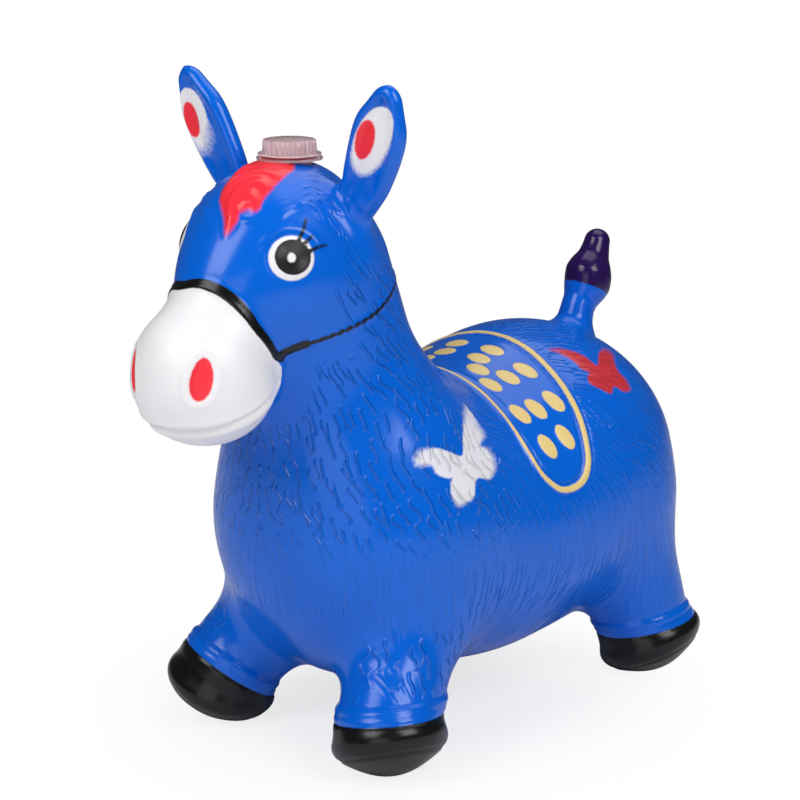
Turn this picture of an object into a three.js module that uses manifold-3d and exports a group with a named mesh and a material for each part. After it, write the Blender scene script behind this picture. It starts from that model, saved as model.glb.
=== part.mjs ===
// Bouncy horse hopper: a hollow, air-filled soft PVC horse on four springy legs, with a screw-capped
// sound and light unit in its crown and an air plug in its belly.
// Millimetres, +Z up. The horse faces -Y and its left side is +X. Heights are from the floor, and
// lengths along Y from the middle of the front hooves; the finished group is centred along Y.
import * as THREE from 'three';
import { mergeVertices } from 'three/addons/utils/BufferGeometryUtils.js';
import loadManifold from 'manifold-3d';

const wasm = await loadManifold();
wasm.setup();

// Clearances
const GAP = 0.3;              // between pieces that touch
const BORE_CLEARANCE = 0.4;   // around anything that sits in a bore

// Skin
const SKIN_WALL = 2;

// Driving sizes, from the floor and from the middle of the front hooves
const HEAD_HEIGHT = 424;      // middle of the head
const RUMP_REACH = 406;       // back of the rump
const BARREL_REACH = 360;     // back of the barrel, under the rump
const BARREL_FRONT = -4;
const RUMP_HALF_LENGTH = 132;
const barrelMiddle = (BARREL_FRONT + BARREL_REACH) / 2;
const barrelHalfLength = (BARREL_REACH - BARREL_FRONT) / 2;

// Rounded volumes of the body: centre, half-lengths and nose-down pitch in degrees
const BARREL = { centre: [0, barrelMiddle, 165], radii: [133, barrelHalfLength, 130], pitch: 0 };
const CHEST = { centre: [0, 49, 187], radii: [126, 108, 136], pitch: 0 };
const RUMP = {
  centre: [0, RUMP_REACH - RUMP_HALF_LENGTH, 190],
  radii: [139, RUMP_HALF_LENGTH, 129],
  pitch: 0,
};
const HEAD = { centre: [0, -43, HEAD_HEIGHT], radii: [66, 69, 64], pitch: -25 };
const CROWN = { centre: [0, -24, HEAD_HEIGHT + 34], radii: [46, 46, 37], pitch: 0 };
const BRIDGE = { centre: [0, -79, HEAD_HEIGHT - 36], radii: [46, 50, 46], pitch: -30 };
const MUZZLE = { centre: [0, -118, HEAD_HEIGHT - 82], radii: [53, 55, 53], pitch: 20 };
const JAW = { centre: [0, -115, HEAD_HEIGHT - 102], radii: [50, 45, 37], pitch: 0 };
const NECK = { from: [0, 32, 276], fromRadius: 78, to: [0, -10, HEAD_HEIGHT - 24], toRadius: 74 };

// Fillet widths where one volume runs into the next
const RUMP_FILLET = 40;
const CHEST_FILLET = 50;
const NECK_FILLET = 50;
const CROWN_FILLET = 20;
const BRIDGE_FILLET = 35;
const JAW_FILLET = 20;
const MUZZLE_FILLET = 22;
const HEAD_FILLET = 30;
const LEG_FILLET = 34;
const HOOF_FILLET = 5;
const EAR_FILLET = 4;

// Left legs: the hip, the ankle where the hoof starts, and the downward line of the splayed hoof
const FRONT_HIP = [65, 50, 113];
const FRONT_HIP_RADIUS = 44;
const FRONT_ANKLE = [96, -10];
const FRONT_SPLAY = [0.38, -0.18, -1];
const REAR_HIP = [78, RUMP_REACH - 99, 153];
const REAR_HIP_RADIUS = 49;
const REAR_ANKLE = [100, RUMP_REACH - 75];
const REAR_SPLAY = [0.37, 0.22, -1];
const ANKLE_RADIUS = 42;
const LEG_SLEEVE = 32;        // length of leg that gives, measured up from the ankle
const HOOF_RADIUS = 43;
const HOOF_FLARE = 5.5;       // how far the hoof's wall swells beyond its top edge
const HOOF_WALL_HEIGHT = 25;
const HOOF_SWELL_TURN = 0.75; // share of half a turn that the swelling follows down the wall
const HOOF_SWELL_ENDS = [-0.2, 1.25];
const HOOF_EDGE_FILLET = 7;
const HOOF_LAP = 6;           // how far the hoof reaches up inside the ankle
const SOLE_DEPTH = 15;        // crown of the domed sole
const SOLE_PRESS = 1.6;       // how far the sole is pressed flat on the floor

// Left ear: a leaf on a ball-shaped root, on which it bends in the head's skin
const EAR_ROOT = [69, -8, HEAD_HEIGHT + 29];
const EAR_TIP = [116, -26, HEAD_HEIGHT + 141];
const EAR_HALF_WIDTH = 26;
const EAR_HALF_THICKNESS = 14;
const EAR_FACING = [0.16, -1, 0.1];
const EAR_PROFILE = [[0, 0.56], [0.14, 0.74], [0.27, 0.92], [0.5, 0.95], [0.68, 0.9], [0.83, 0.61], [1, 0.26]];
const EAR_THINNING = 0.7;     // how much slower the thickness shrinks than the width
const EAR_TIP_FILLET = 14;
const EAR_BALL_RADIUS = 20;

// Tail: stations from its ball-shaped root to the tip, by how far each lies behind and above the root
const TAIL_ROOT = [0, RUMP_REACH - 61, 302];
const TAIL_ROOT_RADIUS = 19;
const TAIL_STALK_RADIUS = 14;
const TAIL_BULGE_RADIUS = 20;
const TAIL_TIP_RADIUS = 11;
const TAIL_STATIONS = [
  { behind: 0, above: 0, radius: TAIL_ROOT_RADIUS },
  { behind: 6, above: 18, radius: TAIL_STALK_RADIUS },
  { behind: 20, above: 39, radius: TAIL_BULGE_RADIUS },
  { behind: 22, above: 50, radius: TAIL_BULGE_RADIUS },
  { behind: 35, above: 75, radius: TAIL_TIP_RADIUS },
];
const TAIL_STATION_FILLET = 6;
const ROOT_OPENING = 5;       // how far below the middle of its ball a hollow root is cut open

// Sizes of the facets
const BODY_FACET = 28;
const LEG_FACET = 18;
const EAR_FACET = 12;
const DRAW_LIMIT = 0.45;      // share of a cell that a corner may be drawn across
const SETTLE_STEPS = 4;
const LEAST_SLOPE = 0.25;
const BISECTIONS = 40;

// Sides of turned pieces
const SIDES = 24;
const FINE_SIDES = 36;
const CELL_SIDES = 18;
const SMALL_SIDES = 12;

// Room left around a volume that is faceted or cut
const BOX_MARGIN = 40;
const CUT_MARGIN = 14;
const CUT_REACH = 110;
const FLOOR_DEPTH = 20;

// Sound and light unit in the crown
const UNIT_Y = -20;
const UNIT_SEAT_SINK = 1;     // seat below the top of the crown
const COLLAR_RADIUS = 27.5;
const COLLAR_DEPTH = 9;
const CUP_RADIUS = 18;
const CUP_WALL = 1.8;
const CUP_DEPTH = 16;
const CUP_FLANGE_RADIUS = 26.5;
const CUP_FLANGE_THICKNESS = 1.8;
const CUP_NECK_HEIGHT = 7;
const SEAL_THICKNESS = 1;
const SEAL_WIDTH = 4;
const CAP_RADIUS = 20.4;
const CAP_HEIGHT = 12.3;
const CAP_TOP = 1.8;
const CAP_RIBS = 30;
const CAP_RIB_DEPTH = 0.9;
const CAP_FLANGE_RADIUS = 25.5;
const CAP_FLANGE_THICKNESS = 1.6;
const CONTACT_THICKNESS = 0.5;
const CELL_RADIUS = 5.8;
const CELL_HEIGHT = 5.4;
const CELL_RIM = 0.7;
const CELL_SPACING = 0.6;     // between neighbouring cells
const CELL_COUNT = 3;
const BOARD_THICKNESS = 1.2;
const BOSS_RADIUS = 2.6;
const BOSS_ANGLE = 31;        // degrees above the X axis, one boss on each side
const SCREW_RADIUS = 1.1;
const SCREW_LENGTH = 5;
const SCREW_HEAD_RADIUS = 2.1;
const SCREW_HEAD_HEIGHT = 1.4;
const LED_RADIUS = 2.5;
const LED_RIM = 0.4;
const LED_RIM_HEIGHT = 1;
const LED_HEIGHT = 6.4;
const LED_CIRCLE_RADIUS = 9.6;
const LED_DOME_STEPS = 4;
const BUZZER_RADIUS = 6;
const BUZZER_HEIGHT = 4.6;
const BUZZER_PORT_RADIUS = 1.2;
const BUZZER_PORT_DEPTH = 1.5;
const SWITCH_RADIUS = 2.1;
const SWITCH_LENGTH = 9;
const SWITCH_Y = -11.6;       // behind the middle of the board when negative

// Air plug under the belly
const PLUG_Y = 150;
const PLUG_RADIUS = 4.2;
const PLUG_TIP_RADIUS = 3.2;
const PLUG_LENGTH = 11;
const PLUG_HEAD_RADIUS = 9;
const PLUG_HEAD_THICKNESS = 2.4;
const PLUG_BOSS_WALL = 6;
const PLUG_BOSS_HEIGHT = 7;
const PLUG_SEAT_SINK = 0.8;

// Vectors
const vector = ([x, y, z]) => new THREE.Vector3(x, y, z);
const direction = (from, to) => vector(to).sub(vector(from)).normalize();
const along = (from, way, distance) => vector(from).addScaledVector(way, distance).toArray();

// Distances: joins and cuts with a fillet, and the two basic volumes
function join(a, b, fillet) {
  const overlap = Math.max(fillet - Math.abs(a - b), 0) / fillet;
  return Math.min(a, b) - overlap * overlap * fillet / 4;
}

const meet = (a, b, fillet) => -join(-a, -b, fillet);

function ellipsoid([x, y, z], { centre, radii, pitch }) {
  const turn = THREE.MathUtils.degToRad(pitch);
  const dy = y - centre[1];
  const dz = z - centre[2];
  const scaled = [
    (x - centre[0]) / radii[0],
    (Math.cos(turn) * dy + Math.sin(turn) * dz) / radii[1],
    (Math.cos(turn) * dz - Math.sin(turn) * dy) / radii[2],
  ];
  const reach = Math.hypot(...scaled);
  const slope = Math.hypot(...scaled.map((value, i) => value / radii[i]));
  return reach * (reach - 1) / Math.max(slope, 1e-6);
}

function taper([x, y, z], from, fromRadius, to, toRadius) {
  const run = [to[0] - from[0], to[1] - from[1], to[2] - from[2]];
  const off = [x - from[0], y - from[1], z - from[2]];
  const length2 = run[0] ** 2 + run[1] ** 2 + run[2] ** 2;
  const dot = off[0] * run[0] + off[1] * run[1] + off[2] * run[2];
  const t = THREE.MathUtils.clamp(dot / length2, 0, 1);
  const miss = Math.hypot(off[0] - t * run[0], off[1] - t * run[1], off[2] - t * run[2]);
  return miss - (fromRadius + t * (toRadius - fromRadius));
}

function interpolate(stations, t) {
  const next = Math.max(1, stations.findIndex(([at]) => at >= t));
  const [t0, v0] = stations[next - 1];
  const [t1, v1] = stations[next];
  return v0 + (v1 - v0) * (t - t0) / (t1 - t0);
}

// The legs, each ankle at the height that presses its domed sole on the floor
const soleRadius = (HOOF_RADIUS ** 2 + SOLE_DEPTH ** 2) / (2 * SOLE_DEPTH);
const soleCentre = HOOF_WALL_HEIGHT + SOLE_DEPTH - soleRadius;

function leg(hip, hipRadius, [x, y], splay) {
  const axis = vector(splay).normalize();
  return { hip, hipRadius, axis, ankle: [x, y, soleRadius - SOLE_PRESS - axis.z * soleCentre] };
}

const FRONT_LEG = leg(FRONT_HIP, FRONT_HIP_RADIUS, FRONT_ANKLE, FRONT_SPLAY);
const REAR_LEG = leg(REAR_HIP, REAR_HIP_RADIUS, REAR_ANKLE, REAR_SPLAY);

// The hoof about its own line: a swelling wall, a crisp lower edge and a domed sole
function hoof(point, { axis, ankle }) {
  const off = vector(point).sub(vector(ankle));
  const down = off.dot(axis);
  const out = off.addScaledVector(axis, -down).length();
  const share = THREE.MathUtils.clamp(down / HOOF_WALL_HEIGHT, ...HOOF_SWELL_ENDS);
  const wall = out - HOOF_RADIUS - HOOF_FLARE * Math.sin(share * HOOF_SWELL_TURN * Math.PI);
  const sole = Math.hypot(down - soleCentre, out) - soleRadius;
  return meet(meet(wall, sole, HOOF_EDGE_FILLET), -down - HOOF_LAP, HOOF_LAP);
}

// The ear: a flattened leaf along its own line, broadest at the middle
const earLine = direction(EAR_ROOT, EAR_TIP);
const earLength = vector(EAR_TIP).distanceTo(vector(EAR_ROOT));
const earFront = vector(EAR_FACING).projectOnPlane(earLine).normalize();
const earSide = earLine.clone().cross(earFront);

function ear(point) {
  const off = vector(point).sub(vector(EAR_ROOT));
  const up = off.dot(earLine);
  const share = interpolate(EAR_PROFILE, THREE.MathUtils.clamp(up / earLength, 0, 1));
  const width = off.dot(earSide) / (EAR_HALF_WIDTH * share);
  const depth = off.dot(earFront) / (EAR_HALF_THICKNESS * share ** EAR_THINNING);
  const leaf = (Math.hypot(width, depth) - 1) * EAR_HALF_THICKNESS * share;
  const ended = meet(leaf, Math.max(up - earLength, -up), EAR_TIP_FILLET);
  return join(ended, off.length() - EAR_BALL_RADIUS, EAR_FILLET);
}

const tailStations = TAIL_STATIONS.map(({ behind, above, radius }) => {
  return { at: [TAIL_ROOT[0], TAIL_ROOT[1] + behind, TAIL_ROOT[2] + above], radius };
});

function tail(point) {
  return tailStations.slice(1).reduce((distance, station, i) => {
    const last = tailStations[i];
    const length = taper(point, last.at, last.radius, station.at, station.radius);
    return join(distance, length, TAIL_STATION_FILLET);
  }, Infinity);
}

// Signed distances to the outside of the trunk, head and legs, and of one leg with its hoof
function trunk(point) {
  let skin = join(ellipsoid(point, BARREL), ellipsoid(point, RUMP), RUMP_FILLET);
  skin = join(skin, ellipsoid(point, CHEST), CHEST_FILLET);
  skin = join(skin, taper(point, NECK.from, NECK.fromRadius, NECK.to, NECK.toRadius), NECK_FILLET);
  const nose = join(ellipsoid(point, MUZZLE), ellipsoid(point, JAW), JAW_FILLET);
  const skull = join(ellipsoid(point, HEAD), ellipsoid(point, CROWN), CROWN_FILLET);
  const face = join(skull, ellipsoid(point, BRIDGE), BRIDGE_FILLET);
  skin = join(skin, join(face, nose, MUZZLE_FILLET), HEAD_FILLET);
  const leftSide = [Math.abs(point[0]), point[1], point[2]];
  return [FRONT_LEG, REAR_LEG].reduce((distance, { hip, hipRadius, ankle }) => {
    return join(distance, taper(leftSide, hip, hipRadius, ankle, ANKLE_RADIUS), LEG_FILLET);
  }, skin);
}

const legWithHoof = (limb) => (point) => join(trunk(point), hoof(point, limb), HOOF_FILLET);

// Where a vertical line leaves the skin, between two heights of which the first is inside
function surfaceHeight(x, y, inside, outside) {
  let [low, high] = [inside, outside];
  for (let step = 0; step < BISECTIONS; step += 1) {
    const middle = (low + high) / 2;
    if (trunk([x, y, middle]) < 0) low = middle;
    else high = middle;
  }
  return low;
}

// The twelve edges of a grid cell: along an axis, from the corner that its side's two bits name
const CELL_EDGES = [0, 1, 2].flatMap((axis) => [0, 1, 2, 3].map((side) => {
  const from = [0, 0, 0];
  from[(axis + 1) % 3] = side & 1;
  from[(axis + 2) % 3] = side >> 1;
  return { axis, from };
}));
const edgeNumber = (axis, side) => 4 * axis + side;

// Sorts a cell's crossed edges into separate sheets of surface, by pairing them across its faces.
// A face with four crossings keeps its inside corners apart, which suits both cells that share it.
function cellSheets(isInside) {
  const sheetOf = CELL_EDGES.map((edge, i) => i);
  const find = (i) => (sheetOf[i] === i ? i : find(sheetOf[i]));
  const link = (i, j) => { sheetOf[find(i)] = find(j); };
  for (let normal = 0; normal < 3; normal += 1) {
    const u = (normal + 1) % 3;
    const v = (normal + 2) % 3;
    for (let level = 0; level < 2; level += 1) {
      const cornerInside = (a, b) => {
        const corner = [0, 0, 0];
        corner[normal] = level;
        corner[u] = a;
        corner[v] = b;
        return isInside(corner);
      };
      const alongU = (b) => edgeNumber(u, b | (level << 1));
      const alongV = (a) => edgeNumber(v, level | (a << 1));
      const crossed = [0, 1].flatMap((i) => [
        cornerInside(0, i) !== cornerInside(1, i) ? [alongU(i)] : [],
        cornerInside(i, 0) !== cornerInside(i, 1) ? [alongV(i)] : [],
      ]).flat();
      if (crossed.length === 2) link(crossed[0], crossed[1]);
      if (crossed.length === 4) {
        for (const a of [0, 1]) {
          for (const b of [0, 1]) if (cornerInside(a, b)) link(alongU(b), alongV(a));
        }
      }
    }
  }
  return find;
}

// Facets a signed distance inside a box: one vertex for each sheet of surface in a grid cell, drawn
// onto the surface, and one quad for each crossed grid edge
function facet(distance, [low, high], cell) {
  const counts = [0, 1, 2].map((i) => Math.ceil((high[i] - low[i]) / cell) + 3);
  const start = [0, 1, 2].map((i) => (low[i] + high[i] - counts[i] * cell) / 2);
  const beyond = (p) => Math.max(...[0, 1, 2].map((i) => Math.max(low[i] - p[i], p[i] - high[i])));
  const clipped = (p) => Math.max(distance(p), beyond(p));
  const strides = [1, counts[0] + 1, (counts[0] + 1) * (counts[1] + 1)];
  const corner = (i, j, k) => [start[0] + i * cell, start[1] + j * cell, start[2] + k * cell];
  const index = (i, j, k) => i + j * strides[1] + k * strides[2];
  const values = new Float64Array(strides[2] * (counts[2] + 1));
  const eachPoint = (first, extra, visit) => {
    for (let k = first; k < counts[2] + extra; k += 1) {
      for (let j = first; j < counts[1] + extra; j += 1) {
        for (let i = first; i < counts[0] + extra; i += 1) visit(i, j, k, index(i, j, k));
      }
    }
  };
  eachPoint(0, 1, (i, j, k, here) => { values[here] = clipped(corner(i, j, k)); });

  const positions = [];
  const vertexOf = new Map();
  const vertexKey = (cellIndex, edge) => cellIndex * CELL_EDGES.length + edge;
  eachPoint(0, 0, (i, j, k, here) => {
    const valueAt = ([x, y, z]) => values[here + x * strides[0] + y * strides[1] + z * strides[2]];
    const sheets = new Map();
    let sheetOf = null;
    CELL_EDGES.forEach(({ axis, from }, edge) => {
      const to = from.map((bit, side) => (side === axis ? 1 : bit));
      const [a, b] = [valueAt(from), valueAt(to)];
      if (a < 0 === b < 0) return;
      sheetOf ??= cellSheets((bits) => valueAt(bits) < 0);
      const sheet = sheetOf(edge);
      if (!sheets.has(sheet)) sheets.set(sheet, { edges: [], sum: new THREE.Vector3() });
      const crossing = vector(from);
      crossing.setComponent(axis, a / (a - b));
      sheets.get(sheet).edges.push(edge);
      sheets.get(sheet).sum.add(crossing);
    });
    for (const { edges, sum } of sheets.values()) {
      const mean = sum.divideScalar(edges.length);
      for (const edge of edges) vertexOf.set(vertexKey(here, edge), positions.length / 3);
      positions.push(...drawOnto(clipped, corner(i + mean.x, j + mean.y, k + mean.z), cell));
    }
  });

  const triangles = [];
  eachPoint(1, 0, (i, j, k, here) => {
    const inside = values[here] < 0;
    for (let axis = 0; axis < 3; axis += 1) {
      if (inside === values[here + strides[axis]] < 0) continue;
      const u = strides[(axis + 1) % 3];
      const v = strides[(axis + 2) % 3];
      const around = [[u + v, 3], [v, 2], [0, 0], [u, 1]];
      const keys = around.map(([back, side]) => vertexKey(here - back, edgeNumber(axis, side)));
      const [a, b, c, d] = keys.map((key) => vertexOf.get(key));
      triangles.push(...(inside ? [a, b, c, a, c, d] : [a, c, b, a, d, c]));
    }
  });
  return { positions, triangles, clipped };
}

function slopeOf(distance, point) {
  const probe = 0.05;
  const here = distance(point);
  return [0, 1, 2].map((i) => {
    const moved = [...point];
    moved[i] += probe;
    return (distance(moved) - here) / probe;
  });
}

// Moves a point along the slope until the distance has the wanted value
function settle(distance, point, wanted) {
  let moved = point;
  for (let step = 0; step < SETTLE_STEPS; step += 1) {
    const slope = slopeOf(distance, moved);
    const size = Math.max(slope[0] ** 2 + slope[1] ** 2 + slope[2] ** 2, LEAST_SLOPE);
    const miss = distance(moved) - wanted;
    moved = moved.map((value, i) => value - miss * slope[i] / size);
  }
  return moved;
}

function drawOnto(distance, guess, cell) {
  const limit = DRAW_LIMIT * cell;
  const point = settle(distance, guess, 0);
  return point.map((value, i) => THREE.MathUtils.clamp(value, guess[i] - limit, guess[i] + limit));
}

// Solids and geometries
function solidOf(positions, triangles) {
  const mesh = new wasm.Mesh({
    numProp: 3,
    vertProperties: Float32Array.from(positions),
    triVerts: Uint32Array.from(triangles),
  });
  return new wasm.Manifold(mesh);
}

function solid(geometry) {
  const bare = geometry.clone();
  bare.deleteAttribute('normal');
  bare.deleteAttribute('uv');
  const merged = mergeVertices(bare, 1e-3);
  const triangles = merged.index.array;
  return solidOf(merged.attributes.position.array, triangles);
}

function geometryOf(shape) {
  const mesh = shape.getMesh();
  const geometry = new THREE.BufferGeometry();
  geometry.setAttribute('position', new THREE.BufferAttribute(mesh.vertProperties.slice(), 3));
  geometry.setIndex(new THREE.BufferAttribute(mesh.triVerts.slice(), 1));
  geometry.computeVertexNormals();
  return geometry;
}

function mirrored(geometry) {
  const copy = geometry.clone();
  copy.scale(-1, 1, 1);
  const index = copy.index.array;
  for (let i = 0; i < index.length; i += 3) [index[i], index[i + 1]] = [index[i + 1], index[i]];
  copy.computeVertexNormals();
  return copy;
}

const at = (geometry, x, y, z) => geometry.translate(x, y, z);

// A plain round bar along +Z from its foot, and the same bar stood on a point along any line
function bar(radius, height, sides = SIDES) {
  return new THREE.CylinderGeometry(radius, radius, height, sides)
    .rotateX(Math.PI / 2)
    .translate(0, 0, height / 2);
}

function stood(geometry, at, way) {
  const turn = new THREE.Quaternion().setFromUnitVectors(new THREE.Vector3(0, 0, 1), way);
  return geometry.applyQuaternion(turn).translate(...at);
}

// A turned piece: (radius, height) corners of its section, closed on the axis or on themselves
function turned(section, sides = SIDES) {
  const points = section.map(([radius, height]) => new THREE.Vector2(radius, height));
  return new THREE.LatheGeometry(points, sides).rotateX(Math.PI / 2);
}

// Skin inside a box: its outside, and a lining with the same facets one wall further in
function shellOf(distance, box, cell) {
  const { positions, triangles, clipped } = facet(distance, box, cell);
  const lining = [];
  for (let i = 0; i < positions.length; i += 3) {
    const point = positions.slice(i, i + 3);
    lining.push(...settle(clipped, point, clipped(point) - SKIN_WALL));
  }
  return { outside: solidOf(positions, triangles), lining: solidOf(lining, triangles) };
}

function skinOf(distance, box, cell) {
  const { outside, lining } = shellOf(distance, box, cell);
  return outside.subtract(lining);
}

// The legs: what is cut away from the body, the sleeve that gives and the hoof below it
const cutRadius = HOOF_RADIUS + HOOF_FLARE + CUT_MARGIN;

function legBox({ ankle }) {
  const low = [ankle[0] - cutRadius, ankle[1] - cutRadius, -FLOOR_DEPTH];
  const high = [ankle[0] + cutRadius, ankle[1] + cutRadius, ankle[2] + LEG_SLEEVE + cutRadius / 2];
  return [low, high];
}

// Everything under a height, beneath one leg: it presses the sole flat
function floorUnder({ ankle }, height) {
  return solid(at(bar(2 * cutRadius, 2 * FLOOR_DEPTH), ankle[0], ankle[1], height - 2 * FLOOR_DEPTH));
}

function legCut({ ankle, axis }, downFromAnkle) {
  return solid(stood(bar(cutRadius, CUT_REACH), along(ankle, axis, downFromAnkle), axis));
}

function legPieces(limb) {
  const { outside, lining } = shellOf(legWithHoof(limb), legBox(limb), LEG_FACET);
  const pressed = outside.subtract(floorUnder(limb, 0));
  const skin = pressed.subtract(lining.subtract(floorUnder(limb, SKIN_WALL)));
  const below = skin.intersect(legCut(limb, GAP - LEG_SLEEVE));
  return {
    sleeve: geometryOf(below.subtract(legCut(limb, -GAP))),
    hoof: geometryOf(below.intersect(legCut(limb, 0))),
  };
}

// Ears and tail: hollow, and open to the body's air below the middle of the ball they bend on
const tailRoot = tailStations[0];
const tailTip = tailStations[tailStations.length - 1];
const tailLine = direction(tailRoot.at, tailStations[1].at);

function bendingSkin(distance, root, tip, line, reach) {
  const low = root.map((value, i) => Math.min(value, tip[i]) - reach);
  const high = root.map((value, i) => Math.max(value, tip[i]) + reach);
  const skin = skinOf(distance, [low, high], EAR_FACET);
  const mouth = along(root, line, -ROOT_OPENING - 2 * reach);
  return geometryOf(skin.subtract(solid(stood(bar(2 * reach, 2 * reach), mouth, line))));
}

function earGeometry() {
  return bendingSkin(ear, EAR_ROOT, EAR_TIP, earLine, EAR_HALF_WIDTH + EAR_FACET);
}

function tailGeometry() {
  return bendingSkin(tail, tailRoot.at, tailTip.at, tailLine, tailRoot.radius + EAR_FACET);
}

// The socket that a bending part's ball leaves in the body's skin
function socket(place, ballRadius) {
  const ball = new THREE.SphereGeometry(ballRadius + BORE_CLEARANCE, FINE_SIDES, FINE_SIDES / 2);
  return solid(ball.translate(...place));
}

// Heights of the unit's seat on the crown and of the plug's seat under the belly
const aboveCrown = HEAD.centre[2] + 2 * HEAD.radii[2];
const unitSeat = surfaceHeight(0, UNIT_Y, HEAD.centre[2], aboveCrown) - UNIT_SEAT_SINK;
const plugSeat = surfaceHeight(0, PLUG_Y, BARREL.centre[2], 0) + PLUG_SEAT_SINK;

// The body: the skin without its legs, ears and tail, with a collar for the unit and a boss for the plug
function bodyGeometry() {
  const reach = BARREL.radii[0] + BOX_MARGIN;
  const front = MUZZLE.centre[1] - MUZZLE.radii[1] - BOX_MARGIN;
  const back = RUMP.centre[1] + RUMP.radii[1] + BOX_MARGIN;
  const low = [-reach, front, -FLOOR_DEPTH];
  const high = [reach, back, HEAD.centre[2] + HEAD.radii[2] + BOX_MARGIN];
  let body = skinOf(trunk, [low, high], BODY_FACET);
  for (const limb of [FRONT_LEG, REAR_LEG]) {
    const otherSide = { ankle: flipped(limb.ankle), axis: vector(flipped(limb.axis.toArray())) };
    body = body.subtract(legCut(limb, -LEG_SLEEVE)).subtract(legCut(otherSide, -LEG_SLEEVE));
  }
  for (const place of [EAR_ROOT, flipped(EAR_ROOT)]) body = body.subtract(socket(place, EAR_BALL_RADIUS));
  body = body.subtract(socket(tailRoot.at, tailRoot.radius));
  const collar = solid(at(bar(COLLAR_RADIUS, COLLAR_DEPTH + GAP), 0, UNIT_Y, unitSeat - COLLAR_DEPTH));
  const aboveSeat = solid(at(bar(COLLAR_RADIUS + GAP, CUP_DEPTH), 0, UNIT_Y, unitSeat));
  const holeRadius = CUP_RADIUS + BORE_CLEARANCE;
  const hole = solid(at(bar(holeRadius, 2 * CUP_DEPTH), 0, UNIT_Y, unitSeat - CUP_DEPTH));
  body = body.add(collar).subtract(aboveSeat).subtract(hole);
  const bossRadius = PLUG_RADIUS + BORE_CLEARANCE + PLUG_BOSS_WALL;
  const boss = solid(at(bar(bossRadius, PLUG_BOSS_HEIGHT + GAP), 0, PLUG_Y, plugSeat - GAP));
  const belowSeat = solid(at(bar(bossRadius + GAP, PLUG_LENGTH), 0, PLUG_Y, plugSeat - PLUG_LENGTH));
  const boreRadius = PLUG_RADIUS + BORE_CLEARANCE;
  const bore = solid(at(bar(boreRadius, 2 * PLUG_LENGTH), 0, PLUG_Y, plugSeat - PLUG_LENGTH));
  return geometryOf(body.add(boss).subtract(belowSeat).subtract(bore));
}

function flipped([x, y, z]) {
  return [-x, y, z];
}

// Unit in the crown, from the cup's floor up. Heights are from the seat.
const cupFloor = CUP_WALL - CUP_DEPTH;
const cupBore = CUP_RADIUS - CUP_WALL;
const flangeTop = GAP + CUP_FLANGE_THICKNESS;
const sealFoot = flangeTop + GAP;
const capFoot = sealFoot + SEAL_THICKNESS + GAP;
const lowerContact = cupFloor + GAP;
const cellFoot = lowerContact + CONTACT_THICKNESS + GAP;
const upperContact = cellFoot + CELL_HEIGHT + GAP;
const boardFoot = upperContact + CONTACT_THICKNESS + GAP;
const boardTop = boardFoot + BOARD_THICKNESS;
const boardRadius = cupBore - 2 * GAP;
const bossCircle = boardRadius - BOSS_RADIUS - GAP;
const bossPlaces = [1, -1].map((side) => {
  const angle = THREE.MathUtils.degToRad(BOSS_ANGLE);
  return [side * bossCircle * Math.cos(angle), bossCircle * Math.sin(angle)];
});

function cupGeometry() {
  const shell = solid(turned([
    [0, -CUP_DEPTH], [CUP_RADIUS, -CUP_DEPTH], [CUP_RADIUS, GAP], [CUP_FLANGE_RADIUS, GAP],
    [CUP_FLANGE_RADIUS, flangeTop], [CUP_RADIUS, flangeTop], [CUP_RADIUS, flangeTop + CUP_NECK_HEIGHT],
    [cupBore, flangeTop + CUP_NECK_HEIGHT], [cupBore, cupFloor], [0, cupFloor],
  ]));
  const bossHeight = boardFoot - GAP - cupFloor;
  return geometryOf(bossPlaces.reduce((cup, [x, y]) => {
    const bossBar = bar(BOSS_RADIUS, bossHeight + CUP_WALL / 2, SMALL_SIDES);
    const boss = solid(at(bossBar, x, y, cupFloor - CUP_WALL / 2));
    const pilot = solid(at(bar(SCREW_RADIUS + GAP, bossHeight, SMALL_SIDES), x, y, cupFloor + GAP));
    return cup.add(boss).subtract(pilot);
  }, shell));
}

function sealGeometry() {
  const inner = CUP_RADIUS + BORE_CLEARANCE;
  const outer = inner + SEAL_WIDTH;
  const top = sealFoot + SEAL_THICKNESS;
  return turned([[inner, sealFoot], [outer, sealFoot], [outer, top], [inner, top], [inner, sealFoot]]);
}

function capGeometry() {
  const outline = new THREE.Shape();
  const steps = 4 * CAP_RIBS;
  for (let step = 0; step < steps; step += 1) {
    const angle = 2 * Math.PI * step / steps;
    const radius = CAP_RADIUS + (step % 4 < 2 ? CAP_RIB_DEPTH : 0);
    outline[step === 0 ? 'moveTo' : 'lineTo'](radius * Math.cos(angle), radius * Math.sin(angle));
  }
  const ribbed = new THREE.ExtrudeGeometry(outline, { depth: CAP_HEIGHT, bevelEnabled: false });
  const flange = bar(CAP_FLANGE_RADIUS, CAP_FLANGE_THICKNESS, FINE_SIDES);
  const hollow = at(bar(CUP_RADIUS + BORE_CLEARANCE, CAP_HEIGHT, FINE_SIDES), 0, 0, -CAP_TOP);
  const cap = solid(ribbed).add(solid(flange)).subtract(solid(hollow));
  return at(geometryOf(cap), 0, 0, capFoot);
}

const contactRadius = bossCircle - BOSS_RADIUS - GAP;
const contactGeometry = (foot) => at(bar(contactRadius, CONTACT_THICKNESS), 0, 0, foot);

function cellGeometry() {
  return turned([
    [0, 0], [CELL_RADIUS, 0], [CELL_RADIUS, CELL_HEIGHT - CELL_RIM], [CELL_RADIUS - CELL_RIM, CELL_HEIGHT],
    [0, CELL_HEIGHT],
  ], CELL_SIDES);
}

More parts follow.
